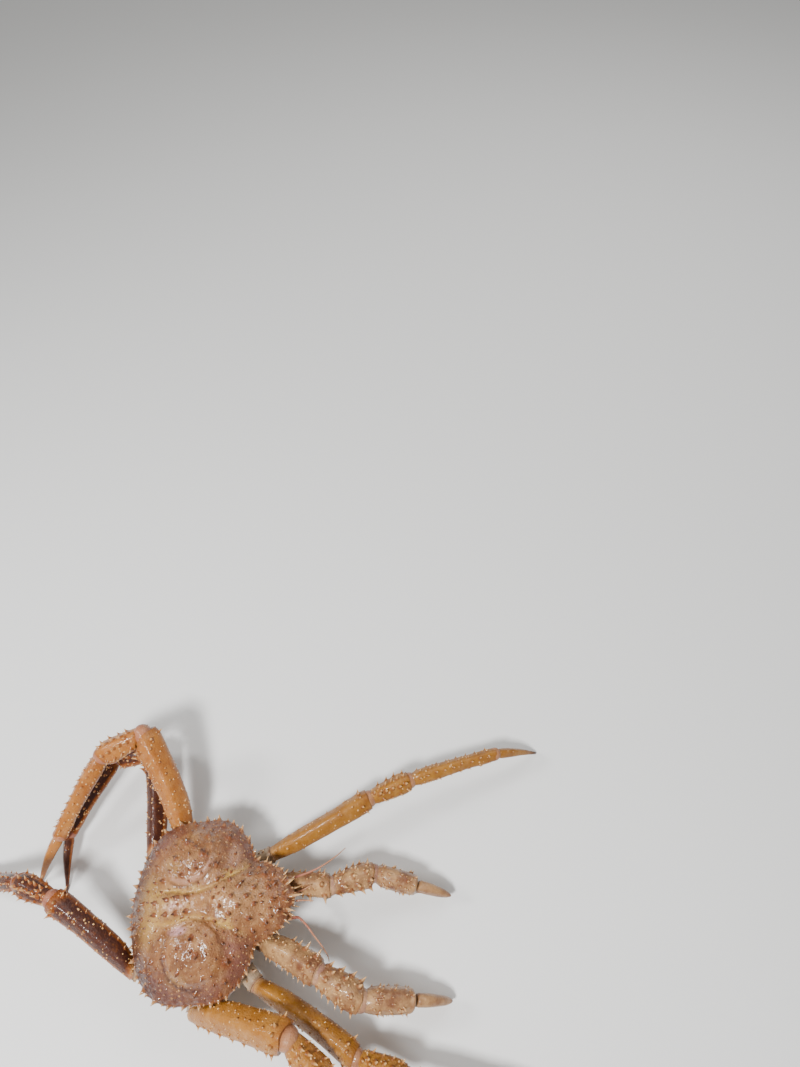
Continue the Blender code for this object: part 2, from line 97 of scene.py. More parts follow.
# Limb lengths from the body out, and greatest half width and half height of each piece
LEG_PIECES = ("ischium", "merus", "carpus", "propodus", "dactyl")
LEG_LENGTHS = {
    "front_leg": (58, 136, 56, 116, 74),
    "middle_leg": (54, 136, 58, 118, 74),
    "rear_leg": (56, 126, 52, 104, 68),
}
LEG_GIRTHS = {
    "front_leg": ((10, 11), (12, 13.5), (11.5, 12), (9.5, 10.2), (6.2, 7)),
    "middle_leg": ((10.5, 12), (15, 15.5), (14, 13.5), (11, 11.5), (7, 7.8)),
    "rear_leg": ((10, 11), (13, 14), (12, 12.5), (10, 10.6), (6.4, 7.2)),
}
CLAW_PIECES = ("ischium", "merus", "carpus")
CLAW_LENGTHS = {"right": (36, 78, 54, 112), "left": (36, 78, 52, 100)}
CLAW_GIRTHS = {
    "right": ((11, 11.5), (14, 14.5), (14.5, 15), (14, 20)),
    "left": ((10, 10.5), (12.5, 13), (13, 13.5), (12.5, 17)),
}

# Pose: each piece's direction, as degrees from the front towards its own side, and degrees up
POSE = {
    "claw_right": ((31, 12), (31, 16), (33, -8), (5, -25)),
    "claw_left": ((0, 10), (-9, 10), (12, -14), (-18, -16)),
    "front_leg_right": ((49, 0), (35, 6), (22, 1), (15, -4), (10, None)),
    "front_leg_left": ((18, 0), (22, 6), (18, 0), (12, -4), (8, None)),
    "middle_leg_right": ((99.5, -7.5), (17.3, 27.2), (48, -22), (44, -12), (38, None)),
    "middle_leg_left": ((125, 5), (110, 33), (198, -12), (228, -31), (232, None)),
    "rear_leg_right": ((165, 4), (222, 24), (207, -8), (192, -34), (182, None)),
    "rear_leg_left": ((146, -6), (94, 4), (180, -2), (238, -7), (266, None)),
}

# How a piece swells along its length: distance along it, and share of its greatest girth
PROFILES = {
    "ischium": ((0, .84), (.3, .9), (.7, 1.0), (1, .95)),
    "merus": ((0, .66), (.08, .78), (.2, .9), (.4, .97), (.66, 1.0), (.86, 1.07), (.95, 1.06), (1, .93)),
    "carpus": ((0, .66), (.14, .82), (.34, .95), (.62, 1.06), (.86, 1.08), (1, .9)),
    "propodus": ((0, .74), (.1, .96), (.24, 1.0), (.5, .92), (.7, .86), (.88, .9), (1, .8)),
    "dactyl": ((0, .74), (.12, .98), (.3, .92), (.6, .64), (.86, .36), (1, .17)),
}
ARCH = {"ischium": 0.0, "merus": 0.03, "carpus": 0.02, "propodus": 0.02, "dactyl": 0.07}
BOW = {"ischium": 0.0, "merus": 0.042, "carpus": 0.0, "propodus": -0.012, "dactyl": 0.0}
CORNER = 3.0 * MM
PLUMP_MERUS = 1.08

# Spines on the back: forward, across to the left, and size
LOBE_SPINES = (
    (-23, 67, 1.25), (-2, 52, 1.3), (1, 74, .9), (24, 71, .95), (-34, 50, .9), (14, 39, .8), (-25, 31, .8),
    (-50, 29, .8), (-8, 36, .55), (-64, 63, .8), (-19, 91, .6), (15, 88, .8), (-12, 60, .5), (-38, 66, .5),
    (-9, -36, 1.2), (-3, -53, 1.1), (26, -60, 1.3), (-41, -50, .9), (-58, -53, .85), (-25, -67, .8),
    (23, -78, .8), (-9, -87, .8), (17, -90, .6), (-68, -60, .7), (1, -74, .6), (-47, -72, .7), (-24, -44, .5),
)
MIDLINE_PAIRS = ((-19, 7, .9), (-31, 8, .95), (-43, 7.5, .9), (-58, 6, .8), (-74, 8, .75))
MIDLINE_SPINES = tuple((f, side * a, size) for side in (1, -1) for f, a, size in MIDLINE_PAIRS)
STOMACH_SPINES = (
    (42, 13, .9), (58, 11, .9), (74, 10, .8), (35, 3, .7), (51, 2, .8), (42, -7, .8), (59, -6, .8),
    (32, -14, .9), (52, -20, .9), (14, 4, .6), (22, -6, .7), (51, 25, .9), (68, 25, .9), (80, 14, .8),
    (55, -32, .8), (15, -20, .7), (31, 21, .7), (79, -3, .8), (70, -25, .9), (38, -29, .7), (16, 24, .7),
    (84, -14, .8), (66, 2, .6), (61, 34, .7), (25, 12, .5), (78, 24, .6), (76, -20, .6),
)
# Spines round the beak: forward, across, height, degrees to the left, degrees up, length
BEAK_SPINES = (
    (92, 0, 82, 0, 10, 22), (90, 4, 87, 14, 46, 11), (90, -5, 86, -20, 40, 11), (89, 11, 82, 24, 18, 17),
    (89, -11, 81, -22, 18, 17), (85, 20, 79, 38, 20, 15), (85, -20, 78, -36, 20, 16),
    (77, 30, 77, 50, 24, 13), (77, -30, 76, -50, 22, 13), (94, 7, 76, 14, -6, 14), (94, -8, 76, -16, -4, 14),
    (82, 0, 89, 0, 60, 8), (88, 17, 84, 30, 42, 10), (88, -17, 83, -30, 40, 10), (66, 38, 74, 62, 26, 11),
    (66, -38, 74, -62, 26, 11), (91, 15, 77, 30, 4, 13), (91, -15, 76, -30, 2, 13), (96, 2, 79, 6, 30, 9),
    (95, -3, 79, -8, 26, 9),
)
LIP_WIDTH = 3.0
# Round swellings of the lobes: middle, radius, first and last degree of the lip, lip and inside heights
LOBE_ROUNDS = (
    ((-20, 55), 31, (84, 236), 2.8, 2.2),
    ((-8, -49), 31, (150, 330), 0.6, 3.0),
)

EDGE_SPINE_COUNT = 76
SMALL_SPINE_COUNT = 190
BACK_WART_COUNT = 760
PALM_SPINE_COUNT = 60
BACK_RINGS = 150

# Lobes, humps and dishes of the back: height, middle (forward, across), spread, and if both sides have it
BOTH = True
RELIEF_PATCHES = (
    (13, (-10, 56), (40, 30), BOTH), (12, (40, 0), (27, 30), BOTH), (4, (-34, 0), (34, 14), BOTH),
    (-5, (-36, 22), (32, 6), BOTH), (-7, (26, 46), (9, 20), BOTH),
)

MOUTH = ((41, 6.2, 34), (63, 6.2, 49), (4.8, 7.5))
EYE_STALK = ((72, 9, 64.5), (87, 11, 65.5), 2.6)
EYE_RADIUS = 3.7
FEELER_BASE = ((72, 17.5, 65.5), (97, 21, 70), (4.2, 3.6))
FEELERS = {
    "right": ((21.1, 97.7, 70.1), (22.2, 105, 71.5), (31, 114, 74), (42, 122, 74), (53, 130, 67),
              (62, 134, 52), (66, 133, 36)),
    "left": ((21.1, 97.7, 70.1), (22, 104, 71.5), (24, 118, 77), (29, 134, 79), (38, 149, 75), (49, 161, 64)),
}
SMALL_FEELERS = {
    "right": ((3.5, 82, 66), (3.8, 96, 69), (4.5, 110, 73), (6.5, 122, 74)),
    "left": ((3.5, 82, 66), (4, 96, 69), (6, 109, 73), (10, 120, 75)),
}
SMALL_LEG_ROUTE = ((27.2, -57.6, 42), (30, -67, 43), (31.5, -76, 45.5), (29, -84, 48.5), (24, -88, 50))
RING_DEPTH = 0.12
FEELER_RADII = (1.7, .45)
SMALL_FEELER_RADII = (1.5, .6)
SMALL_LEG_RADII = (4.2, 2.2)
BELLY_STATIONS = (
    (84, 50, 13, 3.5), (89, 41, 19, 5), (86, 28, 24, 6.5), (73, 16.5, 28, 6.2), (50, 15.2, 28, 5.8),
    (26, 15.2, 24, 5.8), (4, 15.4, 17, 5.4), (-12, 16, 9, 4), (-18, 16.4, 4, 2.4),
)

# Camera over the crab's right front, looking down on its back
CAMERA_PLACE = np.array((-137.9, -267.2, 1014.2)) * MM + BODY_MIDDLE
CAMERA_TURN = (33.495, 3.396, -95.101)
CAMERA_LENS = 24.97
SENSOR = 36.0

# Lights: name, place, size and power
LIGHTS = (
    ("key", (-0.6, 0.3, 1.5), 0.28, 46), ("fill", (1.3, -0.9, 1.6), 1.4, 16),
    ("rim", (0.4, 1.3, 1.3), 0.35, 16),
)
LIGHT_AIM = (0, 0, 0.05)
WORLD_COLOUR = (0.95, 0.94, 0.92, 1)
WORLD_STRENGTH = 0.42
FLOOR_COLOUR = (0.74, 0.74, 0.73, 1)
FLOOR_HALF = 6.0


def colour_setting(name, description, colour):
    """A colour that a user may change."""
    return FloatVectorProperty(name=name, description=description, subtype="COLOR", default=colour,
                               min=0, max=1)


def length_setting(name, description, length):
    """A length that a user may change."""
    return FloatProperty(name=name, description=description, unit="LENGTH", default=length,
                         min=0, precision=4)


class CrabColours(bpy.types.PropertyGroup):
    """Colours of the crab's shell, in linear red, green and blue."""
    shell: colour_setting("Shell", "Pinkish tan ground of the back", (0.255, 0.104, 0.034))
    shell_dark: colour_setting("Dark shell", "Browner clouds on the back", (0.125, 0.041, 0.014))
    mauve: colour_setting("Mauve", "Purple tint of the lobes and rims", (0.175, 0.064, 0.045))
    # Lilac also paints the pink highlights of the back and the highlight along the lobes' lips.
    lilac: colour_setting("Lilac", "Pale pink patches of the back and knees", (0.55, 0.29, 0.30))
    cream: colour_setting("Cream", "Yellow of the grooves", (0.47, 0.28, 0.058))
    rust: colour_setting("Rust", "Orange brown round the spines", (0.165, 0.039, 0.006))
    # Tip also paints the pale highlights on the heart plate, the stomach and the lobes' lips.
    tip: colour_setting("Tip", "Pale tips of the spines", (0.62, 0.36, 0.15))
    # Dark also paints shade: at the edge, the rear and the right side of the back, outside the lobes' lips,
    # and down the sides and undersides of the legs.
    dark: colour_setting("Dark", "Dark brown of the spine tips, rims and bands", (0.042, 0.013, 0.010))
    leg: colour_setting("Leg", "Ochre of the front legs", (0.31, 0.132, 0.016))
    rear_leg: colour_setting("Rear leg", "Orange brown of the rear legs", (0.27, 0.072, 0.006))
    claw: colour_setting("Claw", "Tan of the claw arms", (0.39, 0.22, 0.092))
    pale: colour_setting("Pale", "Grey white of the leg roots", (0.42, 0.31, 0.20))


class CrabSizes(bpy.types.PropertyGroup):
    """Sizes that set how fine and how spiny the crab is."""
    back_spine: length_setting("Back spine", "Height of a large spine on the back", 5.4 * MM)
    edge_spine: length_setting("Edge spine", "Length of the spines round the edge", 6.6 * MM)
    wart: length_setting("Wart", "Radius of the small knobs on the limbs", 1.3 * MM)
    crease: length_setting("Crease", "Half the open crease between two limb pieces", 0.8 * MM)
    spokes: IntProperty(name="Spokes", description="Steps round the carapace", default=480, min=60)
    limb_sides: IntProperty(name="Limb sides", description="Steps round a limb piece", default=56, min=8)


def place(forward, across, height):
    """Metres in the model from millimetres forward, across to the left and up. Arrays or numbers."""
    spots = (np.asarray(across, float), -np.asarray(forward, float), np.asarray(height, float))
    parts = np.broadcast_arrays(*spots)
    return np.stack(parts, axis=-1) * MM + BODY_MIDDLE


def heading(azimuth, elevation, side=1):
    """Unit vectors that many degrees from the front towards one side, and that many degrees up."""
    turn = np.radians(azimuth)
    rise = np.radians(elevation)
    parts = (side * np.sin(turn) * np.cos(rise), -np.cos(turn) * np.cos(rise), np.sin(rise) + 0 * turn)
    return np.stack(np.broadcast_arrays(*parts), axis=-1)


def unit(vectors):
    """Vectors divided by their lengths."""
    return vectors / np.maximum(np.linalg.norm(vectors, axis=-1, keepdims=True), 1e-12)


def smooth_steps(x, start, end):
    """0 before start, 1 after end, and an even S curve between."""
    t = np.clip((np.asarray(x, float) - start) / (end - start), 0, 1)
    return t * t * (3 - 2 * t)


def flowing(x, knots, level_ends=False):
    """A smooth curve through (x, value) knots: cubic pieces that share their slopes where they meet."""
    at, value = np.array(knots, float).T
    slope = np.gradient(value, at)
    if level_ends:
        slope[[0, -1]] = 0
    i = np.clip(np.searchsorted(at, x) - 1, 0, len(at) - 2)
    span = at[i + 1] - at[i]
    t = (x - at[i]) / span
    blend = (1 + 2 * t) * (1 - t) ** 2 * value[i] + t * t * (3 - 2 * t) * value[i + 1]
    return blend + t * (1 - t) ** 2 * span * slope[i] - t * t * (1 - t) * span * slope[i + 1]


def hill(forward, across, middle, spread):
    """A rounded hill of height 1: e to the minus squared distance, with its own spread each way."""
    return np.exp(-((forward - middle[0]) / spread[0]) ** 2 - ((across - middle[1]) / spread[1]) ** 2)


def patches(forward, across, rows):
    """The sum of a table's hills."""
    off = np.abs(across)
    return sum(strength * hill(forward, off if both else across, middle, spread)
               for strength, middle, spread, both in rows)


def wander(points, size, seed=0):
    """Slow uneven waves between -1 and 1: three products of sines along turned directions, a size apart."""
    draw = np.random.default_rng(seed)
    total = 0.0
    for share in (1.0, 0.6, 0.36):
        way = unit(draw.normal(size=(3, 3)))
        phase = draw.uniform(0, 2 * math.pi, 3)
        waves = np.sin(points @ way.T * (2 * math.pi * (1.6 - share) / size) + phase)
        total = total + share * waves[..., 0] * (0.5 + 0.5 * waves[..., 1]) + share * 0.4 * waves[..., 2]
    return total / 2.2


# Colour marks on the mesh; tip and lilac also carry painted highlights, and dark carries painted shade.
MARKS = ("tip", "ring", "dark", "mauve", "yellow", "lilac")


def ring_quads(rows, columns):
    """Quads between neighbouring rows of a grid whose columns close into rings."""
    ring = np.arange(columns)
    after = np.roll(ring, -1)
    row = np.arange(rows - 1)[:, None] * columns
    corners = (row + ring, row + after, row + columns + after, row + columns + ring)
    return np.stack(corners, axis=-1).reshape(-1, 4)


def shell_of(points, marks):
    """A closed surface from a grid of points: rows joined by quads round each ring, and a fan at each end."""
    rows, columns = points.shape[:2]
    vertices = points.reshape(-1, 3)
    quads = ring_quads(rows, columns)
    ring = np.arange(columns)
    after = np.roll(ring, -1)
    poles = np.stack((points[0].mean(axis=0), points[-1].mean(axis=0)))
    first = np.stack((np.full(columns, len(vertices)), after, ring), axis=-1)
    last_row = (rows - 1) * columns
    last = np.stack((np.full(columns, len(vertices) + 1), last_row + ring, last_row + after), axis=-1)
    marks = {key: np.broadcast_to(value, (rows, columns)) for key, value in marks.items()}
    marks = {key: np.append(value, (value[0].mean(), value[-1].mean())) for key, value in marks.items()}
    return outward(np.concatenate((vertices, poles)), quads, np.concatenate((first, last)), marks)


def outward(vertices, quads, triangles, marks):
    """The surface with its faces turned out: the signed volume of its triangles is made positive."""
    faces = np.concatenate((quads[:, :3], quads[:, (0, 2, 3)], triangles)) if len(quads) else triangles
    a, b, c = (vertices[faces[:, k]] for k in range(3))
    if np.einsum("ij,ij->i", a - vertices.mean(axis=0), np.cross(b - a, c - a)).sum() < 0:
        quads = quads[:, ::-1]
        triangles = triangles[:, ::-1]
    return vertices, quads, triangles, marks


def joined(shells):
    """Several surfaces as one set of arrays."""
    vertices, quads, triangles = [], [], []
    marks = {key: [] for key in MARKS}
    count = 0
    for points, four, three, own in shells:
        vertices.append(points)
        quads.append(four + count)
        triangles.append(three + count)
        for key in MARKS:
            marks[key].append(np.broadcast_to(own.get(key, 0.0), len(points)))
        count += len(points)
    return (np.concatenate(vertices), np.concatenate(quads), np.concatenate(triangles),
            {key: np.concatenate(value) for key, value in marks.items()})


def add_piece(name, shells, finish, nodes=()):
    """One named mesh of the crab in its finish, riding on the body and standing for its CAD nodes."""
    vertices, quads, triangles, marks = joined(shells)
    vertices = np.clip(vertices, *CAD_BOX)
    mesh = bpy.data.meshes.new(name)
    mesh.from_pydata(vertices.tolist(), [], quads.tolist() + triangles.tolist())
    mesh.polygons.foreach_set("use_smooth", np.ones(len(mesh.polygons), bool))
    for key in MARKS:
        layer = mesh.attributes.new(key, "FLOAT", "POINT")
        layer.data.foreach_set("value", np.clip(marks[key], 0, 1).astype(np.float32))
    mesh.materials.append(finish)
    mesh.update()
    piece = bpy.data.objects.new(name, mesh)
    bpy.context.scene.collection.objects.link(piece)
    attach(piece, BODY)
    if nodes:
        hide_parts(*nodes)
    return piece


# Spine shapes, row by row from the foot: share of the length, share of the foot's radius, and how much of
# the row is pale, rusty and dark
PALE_SPINE = np.array((
    (-.6, 1.5, 0, .4, 0), (0, 1.15, 0, .75, 0), (.1, .85, 0, .85, 0), (.25, .62, .15, .6, 0),
    (.45, .43, .5, .3, 0), (.7, .25, .85, .1, 0), (.9, .11, 1, 0, 0), (1, .035, 1, 0, 0),
))
DARK_SPINE = np.array((
    (-.6, 1.7, 0, .6, 0), (0, 1.25, 0, 1, 0), (.1, .95, 0, 1, .15), (.25, .74, 0, .8, .45),
    (.45, .56, 0, .4, .7), (.7, .37, 0, .2, .85), (.9, .2, .15, 0, .65), (1, .07, .5, 0, .3),
))
RIM_SPINE = np.array((
    (-.6, 1.5, 0, .4, 0), (0, 1.2, 0, .6, .1), (.15, .92, 0, .7, .1), (.35, .68, .15, .5, 0),
    (.6, .44, .5, .3, 0), (.85, .2, .8, .1, 0), (1, .06, .9, 0, 0),
))
WART = np.array(((-.5, 1.1, .2, .3, 0), (0, 1.0, .4, .35, 0), (.45, .8, .8, .1, 0), (.8, .48, 1, 0, 0),
                 (1, .15, 1, 0, 0)))
BROWN_WART = WART * (1, 1, .35, .8, 1)


def spikes(bases, axes, lengths, radii, shape=PALE_SPINE, sides=8, lean=0.0):
    """Many spines at once: each is rings round its own axis, whose radius and place along it follow a shape.

    The axis bends up by the lean times the square of the distance along it.
    """
    count = len(bases)
    axes = unit(np.asarray(axes, float))
    side = unit(np.cross(axes, np.where(np.abs(axes[:, 2:3]) > 0.9, (1.0, 0, 0), (0, 0, 1.0))))
    other = np.cross(axes, side)
    lengths = np.broadcast_to(lengths, count).astype(float)
    radii = np.broadcast_to(radii, count).astype(float)
    angle = np.arange(sides) * 2 * math.pi / sides
    along = shape[:, 0]
    middle = bases[:, None] + axes[:, None] * (along[None, :, None] * lengths[:, None, None])
    middle = middle + np.array((0, 0, lean)) * (along ** 2)[None, :, None] * lengths[:, None, None]
    round_it = side[:, None] * np.cos(angle)[None, :, None] + other[:, None] * np.sin(angle)[None, :, None]
    size = shape[:, 1][None, :, None, None] * radii[:, None, None, None]
    points = middle[:, :, None] + round_it[:, None] * size
    rows = len(along)
    ring = np.arange(sides)
    quad = ring_quads(rows, sides)[:, (0, 3, 2, 1)]
    foot = np.stack([np.zeros(sides - 2, int), ring[2:], ring[1:-1]], axis=-1)
    top = (rows - 1) * sides + np.stack([np.zeros(sides - 2, int), ring[1:-1], ring[2:]], axis=-1)
    start = np.arange(count)[:, None, None] * (rows * sides)
    quads = (quad[None] + start).reshape(-1, 4)
    triangles = (np.concatenate((foot, top))[None] + start).reshape(-1, 3)
    values = zip(("tip", "ring", "dark"), shape.T[2:])
    marks = {key: np.tile(np.repeat(value, sides), count) for key, value in values}
    return outward(points.reshape(-1, 3), quads, triangles, marks)


def edge_reach(angle):
    """How far the carapace's edge lies from its middle, in millimetres, by angle from the front."""
    degrees = np.degrees(np.abs((angle + math.pi) % (2 * math.pi) - math.pi))
    return flowing(degrees, list(zip(EDGE_ANGLES, EDGE_REACH)), level_ends=True)


def groove_line(forward):
    """How far the groove beside the heart plate lies from the midline: even behind, then out to the front."""
    return 15 + 0.62 * np.clip(forward - 10, 0, 60) + 2 * np.sin(forward / 9)


def lobe_round(forward, across, middle, radius, span):
    """The lip of a round swelling, on part of its rim, and the raised inside. Both go from 0 to 1."""
    away = np.hypot(forward - middle[0], across - middle[1])
    turn = np.degrees(np.arctan2(forward - middle[0], across - middle[1])) % 360
    arc = smooth_steps(turn, span[0], span[0] + 30) * (1 - smooth_steps(turn, span[1] - 30, span[1]))
    lip = np.exp(-((away - radius) / LIP_WIDTH) ** 2) * arc
    inside = 1 - smooth_steps(away, radius - 3, radius + 1.5)
    return lip, inside


def back_relief(forward, across):
    """Height of the back over its plain dome, in millimetres: lobes, humps, grooves, dishes and low waves."""
    off = np.abs(across)
    relief = patches(forward, across, RELIEF_PATCHES)
    groove = np.exp(-((off - groove_line(forward)) / 3.2) ** 2)
    groove *= smooth_steps(forward, -66, -50) * (1 - smooth_steps(forward, 52, 66))
    relief -= 3.4 * groove
    relief -= 2.4 * np.exp(-((forward - 8 - off * 0.1) / 2.6) ** 2) * (1 - smooth_steps(off, 10, 17))
    relief -= 1.8 * np.exp(-((forward + 52) / 3.0) ** 2) * (1 - smooth_steps(off, 14, 30))
    for middle, radius, span, lip_height, inside_height in LOBE_ROUNDS:
        lip, inside = lobe_round(forward, across, middle, radius, span)
        relief += lip_height * lip + inside_height * inside
    spots = np.stack((forward, across, 0 * forward), axis=-1)
    return relief + 1.1 * wander(spots, 34, 3) + 0.8 * wander(spots, 13, 5)


def back_height(forward, across, share, edge):
    """Height of the back: the edge's height plus dome and relief, which both fade out at the edge."""
    front = smooth_steps(forward, 40, 90)
    crown = (1 - np.minimum(share, 1.0) ** 2.5) ** 0.8
    return edge + (CROWN_HEIGHT * (1 - 0.35 * front) + back_relief(forward, across)) * crown


def edge_height(forward):
    """Height of the carapace's edge: raised at the front and a little lower at the rear."""
    front = FRONT_RISE * smooth_steps(forward, 40, 90)
    return EDGE_HEIGHT + front - REAR_DROP * smooth_steps(-forward, 60, 92)


def on_back(forward, across):
    """Places on the back above (forward, across), and the outward directions there."""
    forward = np.asarray(forward, float)
    across = np.asarray(across, float)

    def height(f, a):
        share = np.hypot(f, a) / edge_reach(np.arctan2(a, f))
        return back_height(f, a, np.minimum(share, 1.0), edge_height(f))

    step = 1.5
    slope_f = (height(forward + step, across) - height(forward - step, across)) / (2 * step)
    slope_a = (height(forward, across + step) - height(forward, across - step)) / (2 * step)
    normal = unit(np.stack((-slope_a, slope_f, np.ones_like(slope_a)), axis=-1))
    return place(forward, across, height(forward, across)), normal


def spine_field(forward, across, spines, spread):
    """How near each place is to a spine: the sum of a small hill round each one."""
    total = np.zeros_like(forward)
    for f, a, size in spines:
        total += size ** 0.5 * np.exp(-((forward - f) ** 2 + (across - a) ** 2) / (spread * size ** 0.7) ** 2)
    return total


def edge_spine_plan():
    """Angles and sizes of the spines round the edge: even, a little loose, large and small in turn."""
    draw = np.random.default_rng(21)
    count = EDGE_SPINE_COUNT
    angle = (np.arange(count) + draw.uniform(-.25, .25, count)) * 2 * math.pi / count
    size = np.where(np.arange(count) % 2 == 0, 1.0, 0.6) * draw.uniform(0.75, 1.15, count)
    return angle, size


def edge_swell(angle):
    """How far the edge swells out at its spines, in millimetres: a small hill round each spine's angle."""
    middle, size = edge_spine_plan()
    away = (angle[..., None] - middle + math.pi) % (2 * math.pi) - math.pi
    return (2.0 * size * np.exp(-(away / 0.022) ** 2)).sum(axis=-1)


ALL_BACK_SPINES = LOBE_SPINES + MIDLINE_SPINES + STOMACH_SPINES


def carapace_shell(sizes):
    """The carapace: spokes by rings from the crown over the edge to the underside, with its colour marks."""
    angle = np.arange(sizes.spokes) * 2 * math.pi / sizes.spokes
    top = np.linspace(0.004, 1, BACK_RINGS) ** 0.9
    angle, share = np.meshgrid(angle, top)
    reach = edge_reach(angle) + edge_swell(angle[0])[None] * smooth_steps(share, 0.95, 1.0)
    forward = np.cos(angle) * reach * share
    across = np.sin(angle) * reach * share
    edge = edge_height(forward)
    height = back_height(forward, across, share, edge)
    inner = 1 - smooth_steps(share, 0.94, 1.0)
    height += 2.7 * spine_field(forward, across, ALL_BACK_SPINES, 4.0) * inner
    height -= 0.9 * spine_field(forward, across, ALL_BACK_SPINES, 8.0) * inner
    height += 0.55 * wander(np.stack((forward, across, 0 * forward), axis=-1), 7.5, 11) * inner
    upper = place(forward, across, height)
    rim_turn = np.linspace(0, math.pi, 9)[1:, None]
    edge_forward, edge_across = forward[-1], across[-1]
    swell = 2.2 * np.sin(rim_turn)
    out_f = np.cos(angle[-1]) * (reach[-1] + swell)
    out_a = np.sin(angle[-1]) * (reach[-1] + swell)
    drop = 4.5 * (1 - np.cos(rim_turn))
    rim = place(out_f, out_a, edge[-1] - drop)
    under_share = np.array((0.95, 0.9, 0.78, 0.6, 0.4, 0.2, 0.05))[:, None]
    under_f = edge_forward * under_share
    under_a = edge_across * under_share
    under_front = UNDERSIDE_HEIGHT + UNDERSIDE_FRONT_RISE * smooth_steps(under_f, 30, 78)
    lower = place(under_f, under_a, np.minimum(under_front, edge[-1] - 9 + 0 * under_f))
    points = np.concatenate((upper, rim, lower))
    marks = carapace_marks(forward, across, share)
    below = len(rim) + len(lower)
    marks = {key: np.pad(value, ((0, below), (0, 0)), mode="edge") for key, value in marks.items()}
    pale_below = np.concatenate((np.zeros(len(upper)), np.linspace(0, 1, len(rim)), np.ones(len(lower))))
    marks["tip"] = np.maximum(marks["tip"], 0.55 * pale_below[:, None])
    return shell_of(points, marks)


# Colour patches of the back, as in RELIEF_PATCHES
YELLOW_PATCHES = (
    (0.7, (-11, 18), (8, 4), False), (0.9, (26, -22), (9, 5), False), (0.7, (28, 31), (9, 6), False),
    (0.6, (-68, 20), (16, 24), BOTH), (0.4, (-34, 44), (14, 16), False), (0.4, (44, 40), (8, 9), False),
    (0.35, (-30, -72), (18, 12), False),
)
MAUVE_PATCHES = (
    (1.0, (36, 52), (16, 17), False), (1.0, (32, -46), (14, 17), False), (0.5, (-58, -74), (24, 22), False),
    (0.3, (-33, 0), (12, 6), BOTH), (0.45, (-60, 70), (20, 18), False),
)
RUST_PATCHES = (
    (1.0, (70, 24), (13, 10), False), (0.8, (20, 8), (10, 12), False), (0.6, (64, -30), (16, 12), False),
    (0.8, (88, 0), (12, 18), False), (0.7, (23, 64), (9, 8), False), (0.4, (24, -60), (9, 9), False),
)
# Painted highlights in the pale tip colour: on the heart plate, on the stomach, and a small bright spot on
# the right lobe.
PAINTED_HIGHLIGHT_PATCHES = (
    (0.24, (-34, 0), (36, 18), BOTH), (0.3, (44, 6), (24, 26), False), (0.6, (-29, -26), (6, 4.5), False),
)
# Painted pink highlights in the lilac colour: the small bright spot on the right lobe and a sheen on the
# heart plate.
PAINTED_PINK_HIGHLIGHTS = ((2.4, (-27, -26), (7.5, 3.4), False), (0.45, (-33, 0), (12, 6), BOTH))


def carapace_marks(forward, across, share):
    """Colour marks of the back: rust round spines, mauve lobe fronts and rims, yellow grooves, painted
    highlights on the heart plate, the stomach and the lobes' lips, and painted shade towards the edge, the
    rear and the right side.
    """
    off = np.abs(across)
    spots = np.stack((forward, across, 0 * forward), axis=-1)
    patchy = 0.65 + 0.5 * wander(spots, 15, 31)
    groove = np.exp(-((off - groove_line(forward)) / 2.8) ** 2)
    groove *= smooth_steps(forward, -74, -46) * (1 - smooth_steps(forward, 40, 56))
    yellow = 0.75 * groove * patchy + 0.75 * patchy * hill(forward, off, (-36, 0), (38, 19))
    yellow += patches(forward, across, YELLOW_PATCHES)
    flank = smooth_steps(off, 30, 62) * (1 - smooth_steps(forward, 45, 60))
    mauve = patches(forward, across, MAUVE_PATCHES) + 0.95 * smooth_steps(share, 0.76, 0.93) * flank
    mauve += 0.3 * np.maximum(wander(spots, 40, 39), 0) * smooth_steps(off, 20, 40)
    mauve *= 0.8 + 0.5 * wander(spots, 18, 33)
    rust = patches(forward, across, RUST_PATCHES) * (0.9 + 0.6 * wander(spots, 9, 35))
    ring = 0.85 * spine_field(forward, across, ALL_BACK_SPINES, 3.3)
    ring += 0.7 * spine_field(forward, across, LOBE_SPINES, 4.8)
    ring += 0.7 * rust + 0.36 * smooth_steps(share, 0.8, 1.0)
    tip = 0.4 * np.maximum(wander(spots, 24, 37), 0) + patches(forward, across, PAINTED_HIGHLIGHT_PATCHES)
    lilac = patches(forward, across, PAINTED_PINK_HIGHLIGHTS) * (1 + 0.5 * wander(spots, 8, 41))
    dark = 0.6 * spine_field(forward, across, ALL_BACK_SPINES, 2.2)
    dark += 0.3 * spine_field(forward, across, LOBE_SPINES, 2.6)
    # Darker towards the edge, towards the rear and on the right rear side: painted shade where the light
    # falls off away from the crown; the band at the edge is partly the shell's own darker rim as well.
    dark += 0.42 * smooth_steps(share, 0.74, 1.0) + 0.42 * smooth_steps(-forward, 36, 84)
    dark += 0.3 * hill(forward, across, (-45, -72), (55, 26))
    # Along each lobe's lip: a painted highlight in pale and lilac on the lip, and a painted shadow in dark
    # just outside it.
    for middle, radius, span, lip_height, _ in LOBE_ROUNDS:
        lip, _ = lobe_round(forward, across, middle, radius, span)
        tip += 0.12 * lip * lip_height
        lilac += 0.1 * lip * lip_height
        dark += 0.5 * lobe_round(forward, across, middle, radius + 4.5, span)[0] ** 2
    return {"ring": ring, "mauve": mauve, "yellow": yellow, "tip": tip, "lilac": lilac, "dark": dark}


def spiral_spread(count, least, most, draw):
    """Even loose places over the back: angles a golden turn apart, squared distances evenly spaced."""
    steps = np.arange(count)
    share = np.sqrt(least ** 2 + (most ** 2 - least ** 2) * (steps + 0.5) / count)
    share = share + draw.uniform(-.012, .012, count)
    angle = steps * math.radians(137.508) + draw.uniform(-.05, .05, count)
    reach = edge_reach(angle) * share
    return np.cos(angle) * reach, np.sin(angle) * reach, angle


